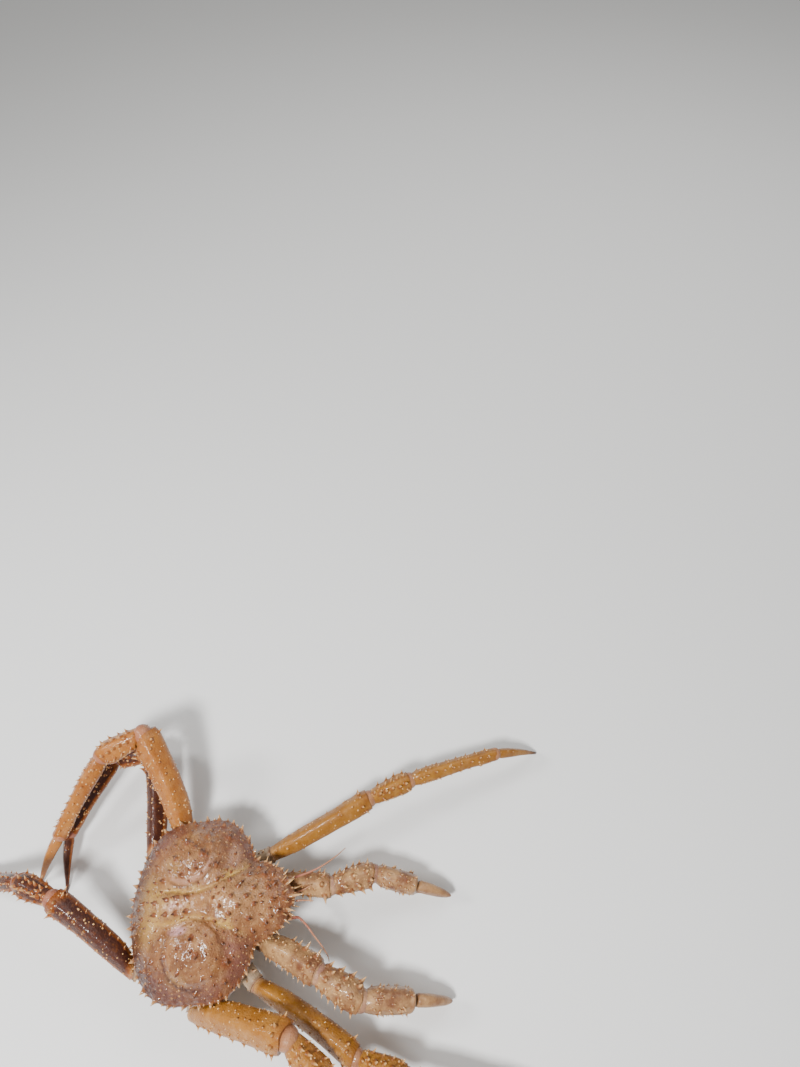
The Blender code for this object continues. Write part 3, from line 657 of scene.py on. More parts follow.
def carapace_spines(sizes):
    """Spines of the back, spines and small points round the edge, and the beak's cluster, in three sets."""
    spines = np.array(ALL_BACK_SPINES)
    bases, normals = on_back(spines[:, 0], spines[:, 1])
    lean = unit(normals + 0.5 * heading(np.degrees(np.arctan2(spines[:, 1], spines[:, 0])), 0))
    bases = bases + normals * 1.3 * MM
    height = sizes.back_spine * spines[:, 2]
    back = spikes(bases, lean, height, 2.35 * MM * spines[:, 2] ** 0.8, DARK_SPINE, sides=10)
    draw = np.random.default_rng(22)
    angle, size = edge_spine_plan()
    count = len(angle)
    reach = edge_reach(angle) + 0.5
    forward, across = np.cos(angle) * reach, np.sin(angle) * reach
    edge = place(forward, across, edge_height(forward) - 1.5)
    way = heading(np.degrees(angle), 16 + 10 * draw.uniform(-1, 1, count))
    radius = 3.5 * MM * size ** 0.6
    edge_set = spikes(edge, way, sizes.edge_spine * size, radius, RIM_SPINE, sides=8, lean=0.25)
    forward, across, angle = spiral_spread(SMALL_SPINE_COUNT, 0.12, 0.985, draw)
    near = np.hypot(forward[:, None] - spines[:, 0], across[:, None] - spines[:, 1]).min(axis=1)
    forward, across, angle = forward[near > 6], across[near > 6], angle[near > 6]
    bases, normals = on_back(forward, across)
    size = draw.uniform(0.4, 0.8, len(bases))
    ways = unit(normals + 0.8 * heading(np.degrees(angle), 0))
    small = spikes(bases - normals * 0.3 * MM, ways, 4.4 * MM * size, 2.2 * MM * size, DARK_SPINE, sides=7)
    forward, across, height, azimuth, elevation, length = np.array(BEAK_SPINES, float).T
    beak_set = spikes(place(forward, across, height), heading(azimuth, elevation), length * MM,
                      length * 0.19 * MM, sides=10, lean=0.12)
    return [back, edge_set, small, beak_set]


def back_warts():
    """Small warts over the whole back, thicker on the lobes and the stomach."""
    draw = np.random.default_rng(8)
    forward, across, _ = spiral_spread(BACK_WART_COUNT, 0.06, 0.97, draw)
    bases, normals = on_back(forward, across)
    size = draw.uniform(0.35, 1.0, len(bases)) ** 1.4
    return spikes(bases, normals, 1.1 * MM * size, 1.6 * MM * size, BROWN_WART, sides=7)


def section_axes(direction):
    """The directions across and up for a piece that points along a direction."""
    up = unit(np.array((0, 0, 1.0)) - direction * direction[2])
    return np.cross(up, direction), up


class LimbPiece:
    """A piece of limb: a rounded section along an arched axis, its ends slid onto their cut planes."""

    def __init__(self, kind, start, end, girth, start_normal, end_normal, gap, seed=0):
        self.kind = kind
        self.start = start
        self.length = np.linalg.norm(end - start)
        self.direction = (end - start) / self.length
        self.across, self.up = section_axes(self.direction)
        self.girth = np.array(girth) * MM
        self.planes = ((start, start_normal, gap, 0), (end, end_normal, -gap, 1))
        self.seed = seed

    def at(self, along, angle, shrink=1.0, sink=0.0):
        """Places at a share of the length and an angle: axis, arch, flattened ring, waves and cuts."""
        along, angle, shrink, sink = np.broadcast_arrays(along, angle, shrink, sink)
        share = flowing(along, PROFILES[self.kind]) * shrink
        if self.kind != "dactyl":
            foot, head = np.exp(-(along / 0.03) ** 2), np.exp(-((1 - along) / 0.035) ** 2)
            share = share * (1 + 0.05 * foot + 0.06 * head)
        flat = 1 + 0.05 * np.cos(4 * angle)
        ridge = 1 + 0.05 * np.exp(-((angle % (2 * math.pi) - math.pi / 2) / 0.3) ** 2)
        out = self.across * (np.cos(angle) * self.girth[0] * share * flat)[..., None]
        out = out + self.up * (np.sin(angle) * self.girth[1] * share * flat * ridge)[..., None]
        axis = self.start + self.direction * (self.length * along)[..., None]
        lift = 4 * self.length * along * (1 - along)
        forward = self.across * -self.across[1]
        axis = axis + self.up * (ARCH[self.kind] * lift)[..., None]
        axis = axis + forward * (BOW[self.kind] * lift)[..., None]
        waves = 1 + 0.035 * wander(axis + out, 0.022, self.seed) * (1 - np.abs(2 * along - 1) ** 6)
        places = axis + out * waves[..., None]
        for point, normal, offset, which in self.planes:
            away = np.abs(along - which)
            pull = 1 - smooth_steps(away, 0.0, 0.24)
            reach = ((point - places) @ normal + offset) / (self.direction @ normal)
            base = self.start + self.direction * (self.length * which)
            plain = (base - places) @ self.direction
            slide = (reach - plain) * pull
            sign = 1 if which else -1
            beyond = np.maximum(sign * slide, 0)
            if self.kind != "dactyl" or not which:
                slide = slide - sign * (beyond - CORNER * np.tanh(beyond / CORNER))
            places = places + self.direction * slide[..., None]
        return places + self.direction * sink[..., None]

    def shell(self, rows, sides, marks=None):
        """The piece's closed surface, with rounded lips that turn in at both ends."""
        angle = np.arange(sides) * 2 * math.pi / sides
        along = (1 - np.cos(np.linspace(0, math.pi, rows))) / 2
        lip = np.array(((.25, 1.6), (.6, 1.4), (.84, .9), (.95, .3)))
        start = [(0.0, shrink, sink * MM) for shrink, sink in lip]
        end = [(1.0, shrink, -sink * MM) for shrink, sink in lip[::-1]]
        if self.kind == "dactyl":
            end = []
        table = np.array(start + [(t, 1.0, 0.0) for t in along] + end)
        points = self.at(table[:, 0:1], angle[None], table[:, 1:2], table[:, 2:3])
        own = marks(table[:, 0:1], angle[None]) if marks else {}
        inner = np.where(table[:, 1:2] < 0.9, 1.0, 0.0)
        own["mauve"] = np.maximum(own.get("mauve", 0.0), 0.5 * inner) + 0 * angle[None]
        own = {key: np.broadcast_to(value, points.shape[:2]) for key, value in own.items()}
        return shell_of(points, own)

    def outs(self, along, angle):
        """Places on the surface and the directions straight out from the axis there."""
        places = self.at(along, angle)
        out = self.across * np.cos(angle)[:, None] * self.girth[1]
        return places, unit(out + self.up * np.sin(angle)[:, None] * self.girth[0])


def limb_joints(root, side, lengths, angles):
    """Joint places from the body out. A piece with no elevation ends on the floor."""
    places = [root]
    for length, (azimuth, elevation) in zip(lengths, angles):
        if elevation is None:
            elevation = -math.degrees(math.asin(places[-1][2] / (length * MM)))
        places.append(places[-1] + heading(azimuth, elevation, side) * length * MM)
    return places


def root_of(kind, side):
    """A limb's root on the thorax wall, and the way that wall faces."""
    (across, rearward), facing = LIMB_ROOTS[kind]
    return place(-rearward, side * across, ROOT_HEIGHT), heading(facing, 0, side)


def limb_pieces(kind, side_name, names, lengths, girths, gap):
    """The LimbPieces of one limb, each cut halfway round its bends, at the body's wall and at the floor."""
    side = 1 if side_name == "left" else -1
    root, facing = root_of(kind, side)
    places = limb_joints(root, side, lengths, POSE[kind + "_" + side_name])
    ways = [unit(b - a) for a, b in zip(places, places[1:])]
    pieces = {}
    for index, name in enumerate(names):
        before = facing if index == 0 else unit(ways[index - 1] + ways[index])
        after = np.array((0, 0, -1.0)) if name == "dactyl" else unit(ways[index] + ways[index + 1])
        girth = np.array(girths[index]) * (PLUMP_MERUS if (kind, name) == ("middle_leg", "merus") else 1)
        piece = LimbPiece(name, places[index], places[index + 1], girth, before, after, gap,
                          seed=len(kind) * 7 + index * 3 + side)
        if name == "dactyl":
            piece.planes = (piece.planes[0], (places[index + 1], after, 0.0, 1))
        pieces[name] = piece
    return places, ways, pieces


def spread_over(draw, count, along, angle):
    """Evenly loose places in a range along and round a piece."""
    return draw.uniform(*along, count), draw.uniform(*angle, count)


def row_along(start, end, count, angle, draw, loose=0.12):
    """A row of places along a piece at one angle in degrees, a little loose."""
    along = np.linspace(start, end, count) + draw.uniform(-.01, .01, count)
    return along, np.radians(angle) + draw.uniform(-loose, loose, count)


# Rows of spines: start, end, count, angle, length and radius in millimetres. Angle 0 is the inner side,
# 90 the top and 180 the outer side.
LEG_SPINE_ROWS = {
    "ischium": ((.8, .8, 1, 40, 6, 2.2), (.75, .85, 2, 120, 4, 1.8)),
    "merus": ((.2, .9, 8, 150, 3.6, 1.6), (.3, .92, 7, 25, 3.0, 1.5), (.93, .93, 1, 60, 9, 3.2),
              (.94, .94, 1, 95, 6, 2.6), (.94, .94, 1, 130, 8, 3.0), (.94, .94, 1, 170, 6.5, 2.6),
              (.94, .94, 1, 15, 7.5, 2.8), (.94, .94, 1, 215, 4, 2.2), (.6, .85, 3, 75, 4.5, 2.0)),
    "carpus": ((.25, .88, 5, 70, 8, 3.0), (.3, .88, 5, 115, 6.5, 2.6), (.3, .9, 4, 20, 5.5, 2.3),
               (.3, .9, 4, 165, 5.5, 2.3), (.15, .3, 2, 92, 5, 2.4)),
    "propodus": ((.1, .9, 9, 70, 5.5, 2.0), (.12, .9, 8, 115, 4.5, 1.8), (.1, .9, 8, 165, 3.5, 1.5),
                 (.1, .9, 8, 10, 3.5, 1.5), (.5, .95, 4, 270, 3, 1.2)),
    "dactyl": ((.06, .3, 3, 80, 2.6, 1.1), (.05, .25, 2, 130, 2.2, 1.0)),
}
CLAW_SPINE_ROWS = {
    "ischium": ((.7, .85, 2, 30, 6, 2.4), (.6, .8, 2, 150, 4.5, 2.0)),
    "merus": ((.15, .9, 8, 172, 4.6, 2.1), (.7, .7, 1, 18, 10.5, 3.6), (.92, .92, 1, 26, 10.5, 3.7),
              (.45, .58, 2, 10, 6.0, 2.6), (.9, .9, 1, 80, 7, 3.0), (.92, .92, 1, 130, 6.5, 2.8),
              (.25, .8, 4, 60, 3.6, 2.2), (.3, .85, 4, 110, 3.4, 2.1)),
    "carpus": ((.15, .9, 4, 10, 7.5, 3.6), (.25, .88, 3, 50, 7, 3.6), (.2, .8, 3, 95, 5.5, 3.2),
               (.3, .88, 3, 135, 5.5, 3.0), (.1, .9, 6, 176, 5.5, 2.6), (.2, .9, 4, 300, 3.5, 1.8)),
}
# How many warts each piece has
LEG_WARTS = {"ischium": 8, "merus": 64, "carpus": 34, "propodus": 52, "dactyl": 0}
CLAW_WARTS = {"ischium": 10, "merus": 46, "carpus": 48}


# Low pale spines that only the merus of a middle leg has
MIDDLE_MERUS_ROWS = ((.12, .88, 7, 176, 4.4, 2.6), (.2, .9, 6, 128, 2.6, 2.0), (.3, .9, 6, 66, 2.6, 1.8))


def limb_set(piece, side, rows, warts, sizes, seed, plain=1.0):
    """A limb piece's spines in rows and its warts, scattered with a fixed seed."""
    draw = np.random.default_rng(seed)
    shells = []
    for start, end, count, angle, length, radius in rows:
        along, turn = row_along(start, end, count, angle, draw)
        turn = turn if side < 0 else math.pi - turn
        places, outs = piece.outs(along, turn)
        lengths = length * MM * plain * draw.uniform(0.75, 1.15, count)
        ways = unit(outs + 0.35 * piece.direction)
        room = (CAD_BOX[1][2] - 0.5 * MM - places[:, 2]) / np.maximum(ways[:, 2], 0.1)
        lengths = np.clip(lengths, 0.5 * MM, np.maximum(room, 0.5 * MM))
        shells.append(spikes(places - outs * 0.4 * MM, ways, lengths, radius * MM * plain ** 0.5))
    if warts:
        along, turn = spread_over(draw, warts, (.04, .97), (-0.4, math.pi + 0.4))
        places, outs = piece.outs(along, turn)
        size = sizes.wart * draw.uniform(0.45, 1.2, warts)
        shells.append(spikes(places, outs, size * 0.85, size, WART, sides=7))
        along, turn = spread_over(draw, warts // 2, (.04, .97), (math.pi, 2 * math.pi))
        places, outs = piece.outs(along, turn)
        shells.append(spikes(places, outs, sizes.wart * 0.5, sizes.wart * 0.7, WART, sides=6))
    return shells


def leg_marks(kind, banded=False):
    """A function that gives a leg piece's colour marks. A banded leg is dark along its top, and every leg is
    darkened down its sides and underside as painted shade.
    """
    def marks(along, angle):
        band = smooth_steps(np.sin(angle), 0.35, 0.7) * smooth_steps(along, 0.02, 0.12)
        band = band * (1 - smooth_steps(along, 0.86, 0.97)) * (1.25 if banded else 0.0)
        under = smooth_steps(-np.sin(angle), 0.1, 0.8)
        # Painted shade: darker down the sides and underside, away from the light above.
        flank = 0.26 * smooth_steps(-np.sin(angle), -0.6, 0.5) + 0 * along
        end = smooth_steps(along, 0.9, 1.0)
        collar = np.exp(-((along - 0.012) / 0.02) ** 2)
        if kind == "ischium":
            return {"ring": 0.55 * end + 0 * angle, "tip": 0.3 * under, "mauve": 0.15 + 0 * along + 0 * angle}
        if kind == "dactyl":
            # The claw tip is dark; the sides and underside carry half the painted shade.
            dark = smooth_steps(along, 0.74, 0.9)
            return {"dark": np.maximum(dark, np.maximum(band, 0.5 * flank)), "tip": 0.2 * under * (1 - dark)}
        root = np.exp(-((along - 0.06) / 0.06) ** 2)
        # The dark mark is the band on top together with the painted shade below.
        return {"dark": np.maximum(band, flank), "ring": 0.55 * end + 0.2 * collar + 0 * angle,
                "tip": 0.08 * under + 0.4 * collar, "mauve": 0.5 * root * np.maximum(under, 0.3)}
    return marks


def node_of(tree, kind, **inputs):
    """A shader node with some of its inputs set by name."""
    made = tree.nodes.new(kind)
    for key, value in inputs.items():
        made.inputs[key.replace("_", " ")].default_value = value
    return made


def mixed(tree, factor, a, b):
    """A colour mix of two colours or sockets by a factor socket or number."""
    mix = tree.nodes.new("ShaderNodeMix")
    mix.data_type = "RGBA"
    for socket, value in ((mix.inputs[0], factor), (mix.inputs[6], a), (mix.inputs[7], b)):
        if hasattr(value, "is_linked"):
            tree.links.new(value, socket)
        elif isinstance(value, (int, float)):
            socket.default_value = value
        else:
            socket.default_value = (*value, 1)
    return mix.outputs[2]


def mapped(tree, value, low, high, to_low=0.0, to_high=1.0):
    """A value socket stretched from one range to another and held inside it."""
    ramp = tree.nodes.new("ShaderNodeMapRange")
    tree.links.new(value, ramp.inputs[0])
    for index, number in enumerate((low, high, to_low, to_high), start=1):
        ramp.inputs[index].default_value = number
    return ramp.outputs[0]


def worked(tree, operation, a, b):
    """A maths node on two sockets or numbers."""
    maths = tree.nodes.new("ShaderNodeMath")
    maths.operation = operation
    for socket, value in zip(maths.inputs, (a, b)):
        if hasattr(value, "is_linked"):
            tree.links.new(value, socket)
        else:
            socket.default_value = value
    return maths.outputs[0]


def noise_of(tree, scale, detail=3.0, roughness=0.55, lift=0.0):
    """Noise on the object's own coordinates, in cells per metre. The lift picks another part of it."""
    coordinates = tree.nodes.new("ShaderNodeTexCoord")
    mapping = tree.nodes.new("ShaderNodeMapping")
    mapping.inputs["Location"].default_value = (lift, lift * 0.7, lift * 1.3)
    tree.links.new(coordinates.outputs["Object"], mapping.inputs["Vector"])
    noise = node_of(tree, "ShaderNodeTexNoise", Scale=scale, Detail=detail, Roughness=roughness)
    tree.links.new(mapping.outputs["Vector"], noise.inputs["Vector"])
    return noise.outputs["Fac"]


def cells_of(tree, scale):
    """Round cells on the object's own coordinates: the distance to the nearest centre."""
    coordinates = tree.nodes.new("ShaderNodeTexCoord")
    cells = node_of(tree, "ShaderNodeTexVoronoi", Scale=scale)
    tree.links.new(coordinates.outputs["Object"], cells.inputs["Vector"])
    return cells.outputs["Distance"]


def mark_of(tree, name):
    """One of the mesh's own colour marks."""
    mark = tree.nodes.new("ShaderNodeAttribute")
    mark.attribute_name = name
    return mark.outputs["Fac"]


# Finishes: ground and darker clouds (a colour, or a setting's name), roughness, coat and pale blotches
FINISHES = {
    "back_finish": ("shell", "shell_dark", 0.5, 0.85, 0.24),
    "front_leg_finish": ("leg", (0.21, 0.078, 0.010), 0.44, 0.3, 0.12),
    "middle_leg_finish": ((0.33, 0.138, 0.022), (0.25, 0.088, 0.008), 0.44, 0.35, 0.16),
    # The left middle leg's finish: the middle leg's colours made paler, painted light where the light above
    # falls brighter on it.
    "painted_lit_leg_finish": ((0.38, 0.145, 0.027), (0.28, 0.088, 0.014), 0.42, 0.35, 0.15),
    "rear_leg_finish": ("rear_leg", (0.14, 0.034, 0.006), 0.4, 0.35, 0.15),
    "claw_arm_finish": ("claw", (0.145, 0.054, 0.024), 0.42, 0.4, 0.4),
    "leg_root_finish": ("pale", (0.30, 0.21, 0.13), 0.4, 0.3, 0.3),
    "under_finish": ((0.42, 0.25, 0.10), (0.27, 0.13, 0.045), 0.45, 0.25, 0.3),
    "feeler_finish": ((0.38, 0.12, 0.09), (0.26, 0.07, 0.05), 0.4, 0.3, 0.2),
}
# Colour layers over the ground: mark, its range that counts, most cover, colour setting, mottled or not
MARK_LAYERS = (
    ("mauve", .05, .9, .9, "mauve", True), ("yellow", .15, .85, .9, "cream", True),
    ("ring", .12, .95, .95, "rust", True), ("tip", .05, .95, .9, "tip", False),
    ("lilac", .05, .9, .9, "lilac", False), ("dark", .1, .8, .95, "dark", True),
)
BACK_BUMP = 1.1 * MM
LIMB_BUMP = 0.7 * MM


# Patterns of the shell, in cells per metre
CLOUD_SCALE = 42
BLOTCH_SCALE = 130
MOTTLE_SCALE = 210
SPECK_SCALE = 900
GLOSS_SCALE = 160
GRAIN_SCALE = 260
WET_SCALE = 170
PIT_SCALE = 520


def shell_finish(name, ground, dark, colours, roughness, coat, blotch, bump):
    """Wet shell: clouds of two browns, the mesh's colour marks, dark specks, pits and gloss."""
    finish = bpy.data.materials.new(name)
    finish.use_nodes = True
    tree = finish.node_tree
    shader = tree.nodes["Principled BSDF"]
    clouds = mapped(tree, noise_of(tree, CLOUD_SCALE, 5, 0.62), 0.36, 0.66)
    colour = mixed(tree, clouds, ground, dark)
    blotches = mapped(tree, noise_of(tree, BLOTCH_SCALE, 4, 0.6, 3.1), 0.48, 0.7, 0.0, blotch)
    colour = mixed(tree, blotches, colour, colours.tip)
    mottle = mapped(tree, noise_of(tree, MOTTLE_SCALE, 3, 0.6, 7.7), 0.3, 0.75, 0.55, 1.15)
    for mark, low, high, most, setting, patchy in MARK_LAYERS:
        amount = mark_of(tree, mark)
        if patchy:
            amount = worked(tree, "MULTIPLY", amount, mottle)
        colour = mixed(tree, mapped(tree, amount, low, high, 0, most), colour, getattr(colours, setting))
    specks = mapped(tree, noise_of(tree, SPECK_SCALE, 2, 0.5, 1.9), 0.62, 0.72, 0.0, 0.5)
    colour = mixed(tree, specks, colour, colours.shell_dark)
    tree.links.new(colour, shader.inputs["Base Color"])
    wetness = noise_of(tree, GLOSS_SCALE, 3, 0.6, 5.5)
    rough = mapped(tree, wetness, 0.35, 0.7, roughness - 0.1, roughness + 0.14)
    tree.links.new(rough, shader.inputs["Roughness"])
    shader.inputs["Coat Weight"].default_value = coat
    shader.inputs["Coat Roughness"].default_value = 0.05
    shader.inputs["Specular IOR Level"].default_value = 0.18
    pits = worked(tree, "MULTIPLY", cells_of(tree, PIT_SCALE), 0.8)
    height = worked(tree, "ADD", pits, noise_of(tree, GRAIN_SCALE, 4, 0.6, 2.2))
    relief = node_of(tree, "ShaderNodeBump", Strength=0.75, Distance=bump)
    tree.links.new(height, relief.inputs["Height"])
    tree.links.new(relief.outputs["Normal"], shader.inputs["Normal"])
    wet = node_of(tree, "ShaderNodeBump", Strength=0.9, Distance=1.6 * bump)
    tree.links.new(noise_of(tree, WET_SCALE, 3, 0.55, 6.6), wet.inputs["Height"])
    tree.links.new(wet.outputs["Normal"], shader.inputs["Coat Normal"])
    return finish


def finish_named(name):
    """One of the crab's finishes, made the first time it is asked for."""
    if name in bpy.data.materials:
        return bpy.data.materials[name]
    colours = bpy.context.scene.crab_colours
    tints = (getattr(colours, tint) if isinstance(tint, str) else tint for tint in FINISHES[name][:2])
    bump = BACK_BUMP if name == "back_finish" else LIMB_BUMP
    return shell_finish(name, *tints, colours, *FINISHES[name][2:], bump)


def plain_finish(name, clouds, light, dark, roughness, relief_of, strength, depth):
    """A finish in clouds of two colours, with one fine relief."""
    finish = bpy.data.materials.new(name)
    finish.use_nodes = True
    tree = finish.node_tree
    shader = tree.nodes["Principled BSDF"]
    scale, detail, low, high = clouds
    colour = mixed(tree, mapped(tree, noise_of(tree, scale, detail), low, high), light, dark)
    tree.links.new(colour, shader.inputs["Base Color"])
    shader.inputs["Roughness"].default_value = roughness
    relief = node_of(tree, "ShaderNodeBump", Strength=strength, Distance=depth)
    tree.links.new(relief_of(tree), relief.inputs["Height"])
    tree.links.new(relief.outputs["Normal"], shader.inputs["Normal"])
    return finish


def membrane_finish():
    """Soft skin between the plates: a dull yellow brown with fine folds."""
    if "joint_skin" in bpy.data.materials:
        return bpy.data.materials["joint_skin"]
    return plain_finish("joint_skin", (300, 4, 0.35, 0.7), (0.42, 0.25, 0.10), (0.20, 0.10, 0.05), 0.5,
                        lambda tree: noise_of(tree, 900, 3), 0.6, 0.5 * MM)


def eye_finish():
    """A wet black eye with a fine net of facets."""
    return plain_finish("eye_black", (400, 3, 0.4, 0.7), (0.012, 0.008, 0.010), (0.05, 0.02, 0.015), 0.12,
                        lambda tree: cells_of(tree, 2600), 0.25, 0.2 * MM)


class CRAB_OT_carapace(bpy.types.Operator):
    """Build the carapace with its spines."""
    bl_idname = "crab.carapace"
    bl_label = "Carapace"

    def execute(self, context):
        sizes = context.scene.crab_sizes
        finish = finish_named("back_finish")
        add_piece("carapace_plate", [carapace_shell(sizes)], finish, ("carapace",))
        shells = [*carapace_spines(sizes), back_warts()]
        add_piece("carapace_spines", shells, finish)
        return {"FINISHED"}


class CRAB_OT_legs(bpy.types.Operator):
    """Build the six walking legs, five pieces each, and the small folded pair."""
    bl_idname = "crab.legs"
    bl_label = "Legs"

    def execute(self, context):
        sizes = context.scene.crab_sizes
        for kind, lengths in LEG_LENGTHS.items():
            for side_name in ("left", "right"):
                add_leg(kind, side_name, lengths, sizes)
        for side_name, side in SIDES:
            route = smooth_route(SMALL_LEG_ROUTE, side, 40)
            shell = hose(route, np.linspace(*SMALL_LEG_RADII, 40), 24)
            limb = "small_leg_" + side_name
            add_piece(limb + "_plate", [shell], finish_named("rear_leg_finish"), (limb,))
        return {"FINISHED"}


def add_limb_plate(limb, name, shells, finish):
    """One plate of a limb, named after its CAD node. The first one has the pale finish of the roots."""
    node = limb + "_" + name
    finish = "leg_root_finish" if name == "ischium" else finish
    add_piece(node + "_plate", shells, finish_named(finish), (node,))


def plate_rows(piece):
    """Rows of a plate's grid, by its length."""
    return 26 + int(piece.length / MM * 0.7)


def add_leg(kind, side_name, lengths, sizes):
    """One walking leg: its five plates with spines and warts, and the skin in its joints."""
    side = 1 if side_name == "left" else -1
    places, ways, pieces = limb_pieces(kind, side_name, LEG_PIECES, lengths, LEG_GIRTHS[kind], sizes.crease)
    limb = kind + "_" + side_name
    for index, (name, piece) in enumerate(pieces.items()):
        smooth_merus = kind == "front_leg" and name == "merus"
        warts = LEG_WARTS[name] // (2 if smooth_merus else 1)
        seed = 100 + 10 * index + len(kind) + (5 if side > 0 else 0)
        marks = leg_marks(name, kind == "rear_leg")
        shells = [piece.shell(plate_rows(piece), sizes.limb_sides, marks)]
        plain = 0.75 if smooth_merus else 1.0
        shells += limb_set(piece, side, LEG_SPINE_ROWS[name], warts, sizes, seed, plain)
        if (kind, name) == ("middle_leg", "merus"):
            shells += limb_set(piece, side, MIDDLE_MERUS_ROWS, 0, sizes, seed + 1)
        if index:
            shells.append(joint_head(places[index], ways[index], LEG_GIRTHS[kind][index - 1]))
        # The left middle leg takes a paler copy of the middle leg's finish: painted light.
        own = "painted_lit_leg_finish" if limb == "middle_leg_left" else kind + "_finish"
        add_limb_plate(limb, name, shells, own)
    add_joint_skin(limb, places, ways, LEG_GIRTHS[kind])


def ball(middle, way, radii, marks, rows=14, sides=32):
    """A ball: rows from pole to pole along a way and sides round it, with a radius along, across and up."""
    across, up = section_axes(way)
    rise = np.linspace(0, math.pi, rows + 2)[1:-1, None]
    turn = (np.arange(sides) * 2 * math.pi / sides)[None]
    points = middle + way * (np.cos(rise) * radii[0] + 0 * turn)[..., None]
    points = points + across * (np.sin(rise) * np.cos(turn) * radii[1])[..., None]
    points = points + up * (np.sin(rise) * np.sin(turn) * radii[2])[..., None]
    return shell_of(points, {key: np.broadcast_to(value, points.shape[:2]) for key, value in marks.items()})


def joint_head(middle, way, girth):
    """The rounded head by which a piece turns in the end of the one before it."""
    wide, high = (0.88 * half * MM for half in girth)
    return ball(middle, way, (0.86 * min(wide, high), wide, high), {"mauve": 0.2, "ring": 0.15, "lilac": 0.2})


def add_joint_skin(limb, places, ways, girths):
    """The skin between the plates of a limb: a flat ball at each joint, square to its bend."""
    shells = []
    for index in range(1, len(girths)):
        normal = unit(ways[index - 1] + ways[index])
        wide, high = (0.93 * half * MM for half in np.minimum(girths[index - 1], girths[index]))
        shells.append(ball(places[index], normal, (1.6 * MM, wide, high), {}))
    add_piece(limb + "_joint_skin", shells, membrane_finish())


class CRAB_OT_claws(bpy.types.Operator):
    """Build both claw limbs: arm plates, palm with fixed finger, and moving finger."""
    bl_idname = "crab.claws"
    bl_label = "Claws"

    def execute(self, context):
        sizes = context.scene.crab_sizes
        for side_name in ("left", "right"):
            add_claw(side_name, sizes)
        return {"FINISHED"}


# Hand: distance along it, and the heights of its top and bottom as shares of its half height, and its width
HAND_TOP = (
    (0, .52), (.1, .8), (.3, 1), (.46, .98), (.53, .84), (.565, -.02), (.72, -.13), (.88, -.2), (1, -.25),
)
HAND_BOTTOM = ((0, -.56), (.1, -.78), (.3, -1), (.5, -1), (.72, -.84), (.88, -.62), (1, -.38))
HAND_WIDTH = (
    (0, .68), (.1, .92), (.3, 1), (.46, .96), (.55, .82), (.6, .52), (.72, .44), (.88, .34), (1, .16),
)
FINGER_START = 0.563
FINGER_TOP = ((0, .82), (.25, .86), (.55, .68), (.82, .36), (1, .02))
FINGER_BOTTOM = ((0, .1), (.25, .06), (.55, 0), (.82, -.06), (1, -.16))
FINGER_WIDTH = ((0, .5), (.25, .5), (.55, .42), (.82, .3), (1, .12))
HAND_LINES = (HAND_TOP, HAND_BOTTOM, HAND_WIDTH)
FINGER_LINES = (FINGER_TOP, FINGER_BOTTOM, FINGER_WIDTH)


def hand_shell(start, direction, length, girth, lines, cut=None, dark_from=0.86, rows=90, sides=48):
    """A palm or finger: rings between a top line and a bottom line, as wide as a third line."""
    top, bottom, width = lines
    across, up = section_axes(direction)
    along = np.linspace(0, 1, rows)[:, None]
    angle = (np.arange(sides) * 2 * math.pi / sides)[None]
    high = flowing(along, top)
    low = flowing(along, bottom)
    round_in = np.where(along < 0.02, 0.9, 1.0) * np.sqrt(np.clip((1.012 - along) / 0.05, 0.05, 1))
    half = (high - low) / 2 * round_in
    out = np.sin(angle) * half * girth[1] * MM + (high + low) / 2 * girth[1] * MM
    wide = np.cos(angle) * flowing(along, width) * girth[0] * MM * round_in
    points = start + direction * (length * along)[..., None] + across * wide[..., None] + up * out[..., None]
    if cut is not None:
        pull = 1 - smooth_steps(along, 0.0, 0.16)
        reach = ((start - points) @ cut + 0.8 * MM) / (direction @ cut)
        plain = (start - points) @ direction
        points = points + direction * ((reach - plain) * pull)[..., None]
    dark = smooth_steps(along, dark_from, 1.0)
    under = smooth_steps(-np.sin(angle), 0.0, 0.8)
    marks = {"ring": 0.75 * dark + 0 * angle, "tip": 0.4 * under * (1 - dark), "mauve": 0.15}
    return shell_of(points, marks), across, up


def add_claw(side_name, sizes):
    """One claw limb, with teeth along both fingers and tufts of spines on the palm."""
    side = 1 if side_name == "left" else -1
    limb = "claw_" + side_name
    girths = CLAW_GIRTHS[side_name]
    lengths = CLAW_LENGTHS[side_name]
    places, ways, pieces = limb_pieces("claw", side_name, CLAW_PIECES, lengths, girths, sizes.crease)
    for index, (name, piece) in enumerate(pieces.items()):
        shells = [piece.shell(plate_rows(piece), sizes.limb_sides, leg_marks(name))]
        seed = 300 + 10 * index + side
        shells += limb_set(piece, side, CLAW_SPINE_ROWS[name], CLAW_WARTS[name], sizes, seed)
        if index:
            shells.append(joint_head(places[index], ways[index], girths[index - 1]))
        add_limb_plate(limb, name, shells, "claw_arm_finish")
    add_joint_skin(limb, places, ways, girths)
    wrist, direction = places[3], ways[3]
    length = lengths[3] * MM
    cut = unit(ways[2] + direction)
    palm, across, up = hand_shell(wrist, direction, length, girths[3], HAND_LINES, cut)
    draw = np.random.default_rng(40 + side)
    shells = [palm, palm_spines(draw, wrist, direction, across, up, length, girths[3])]
    shells.append(joint_head(wrist, direction, girths[2]))
    shells.append(teeth(wrist, direction, up, length, girths[3], (.62, .97), -0.16, 1, 9))
    add_limb_plate(limb, "palm", shells, "claw_arm_finish")
    knuckle = wrist + direction * length * FINGER_START
    reach = length * (1 - FINGER_START)
    finger, across, up = hand_shell(knuckle, direction, reach, girths[3], FINGER_LINES, dark_from=0.7,
                                    rows=60, sides=40)
    shells = [finger, teeth(knuckle, direction, up, reach, girths[3], (.15, .92), 0.0, -1, 8)]
    add_limb_plate(limb, "finger", shells, "claw_arm_finish")


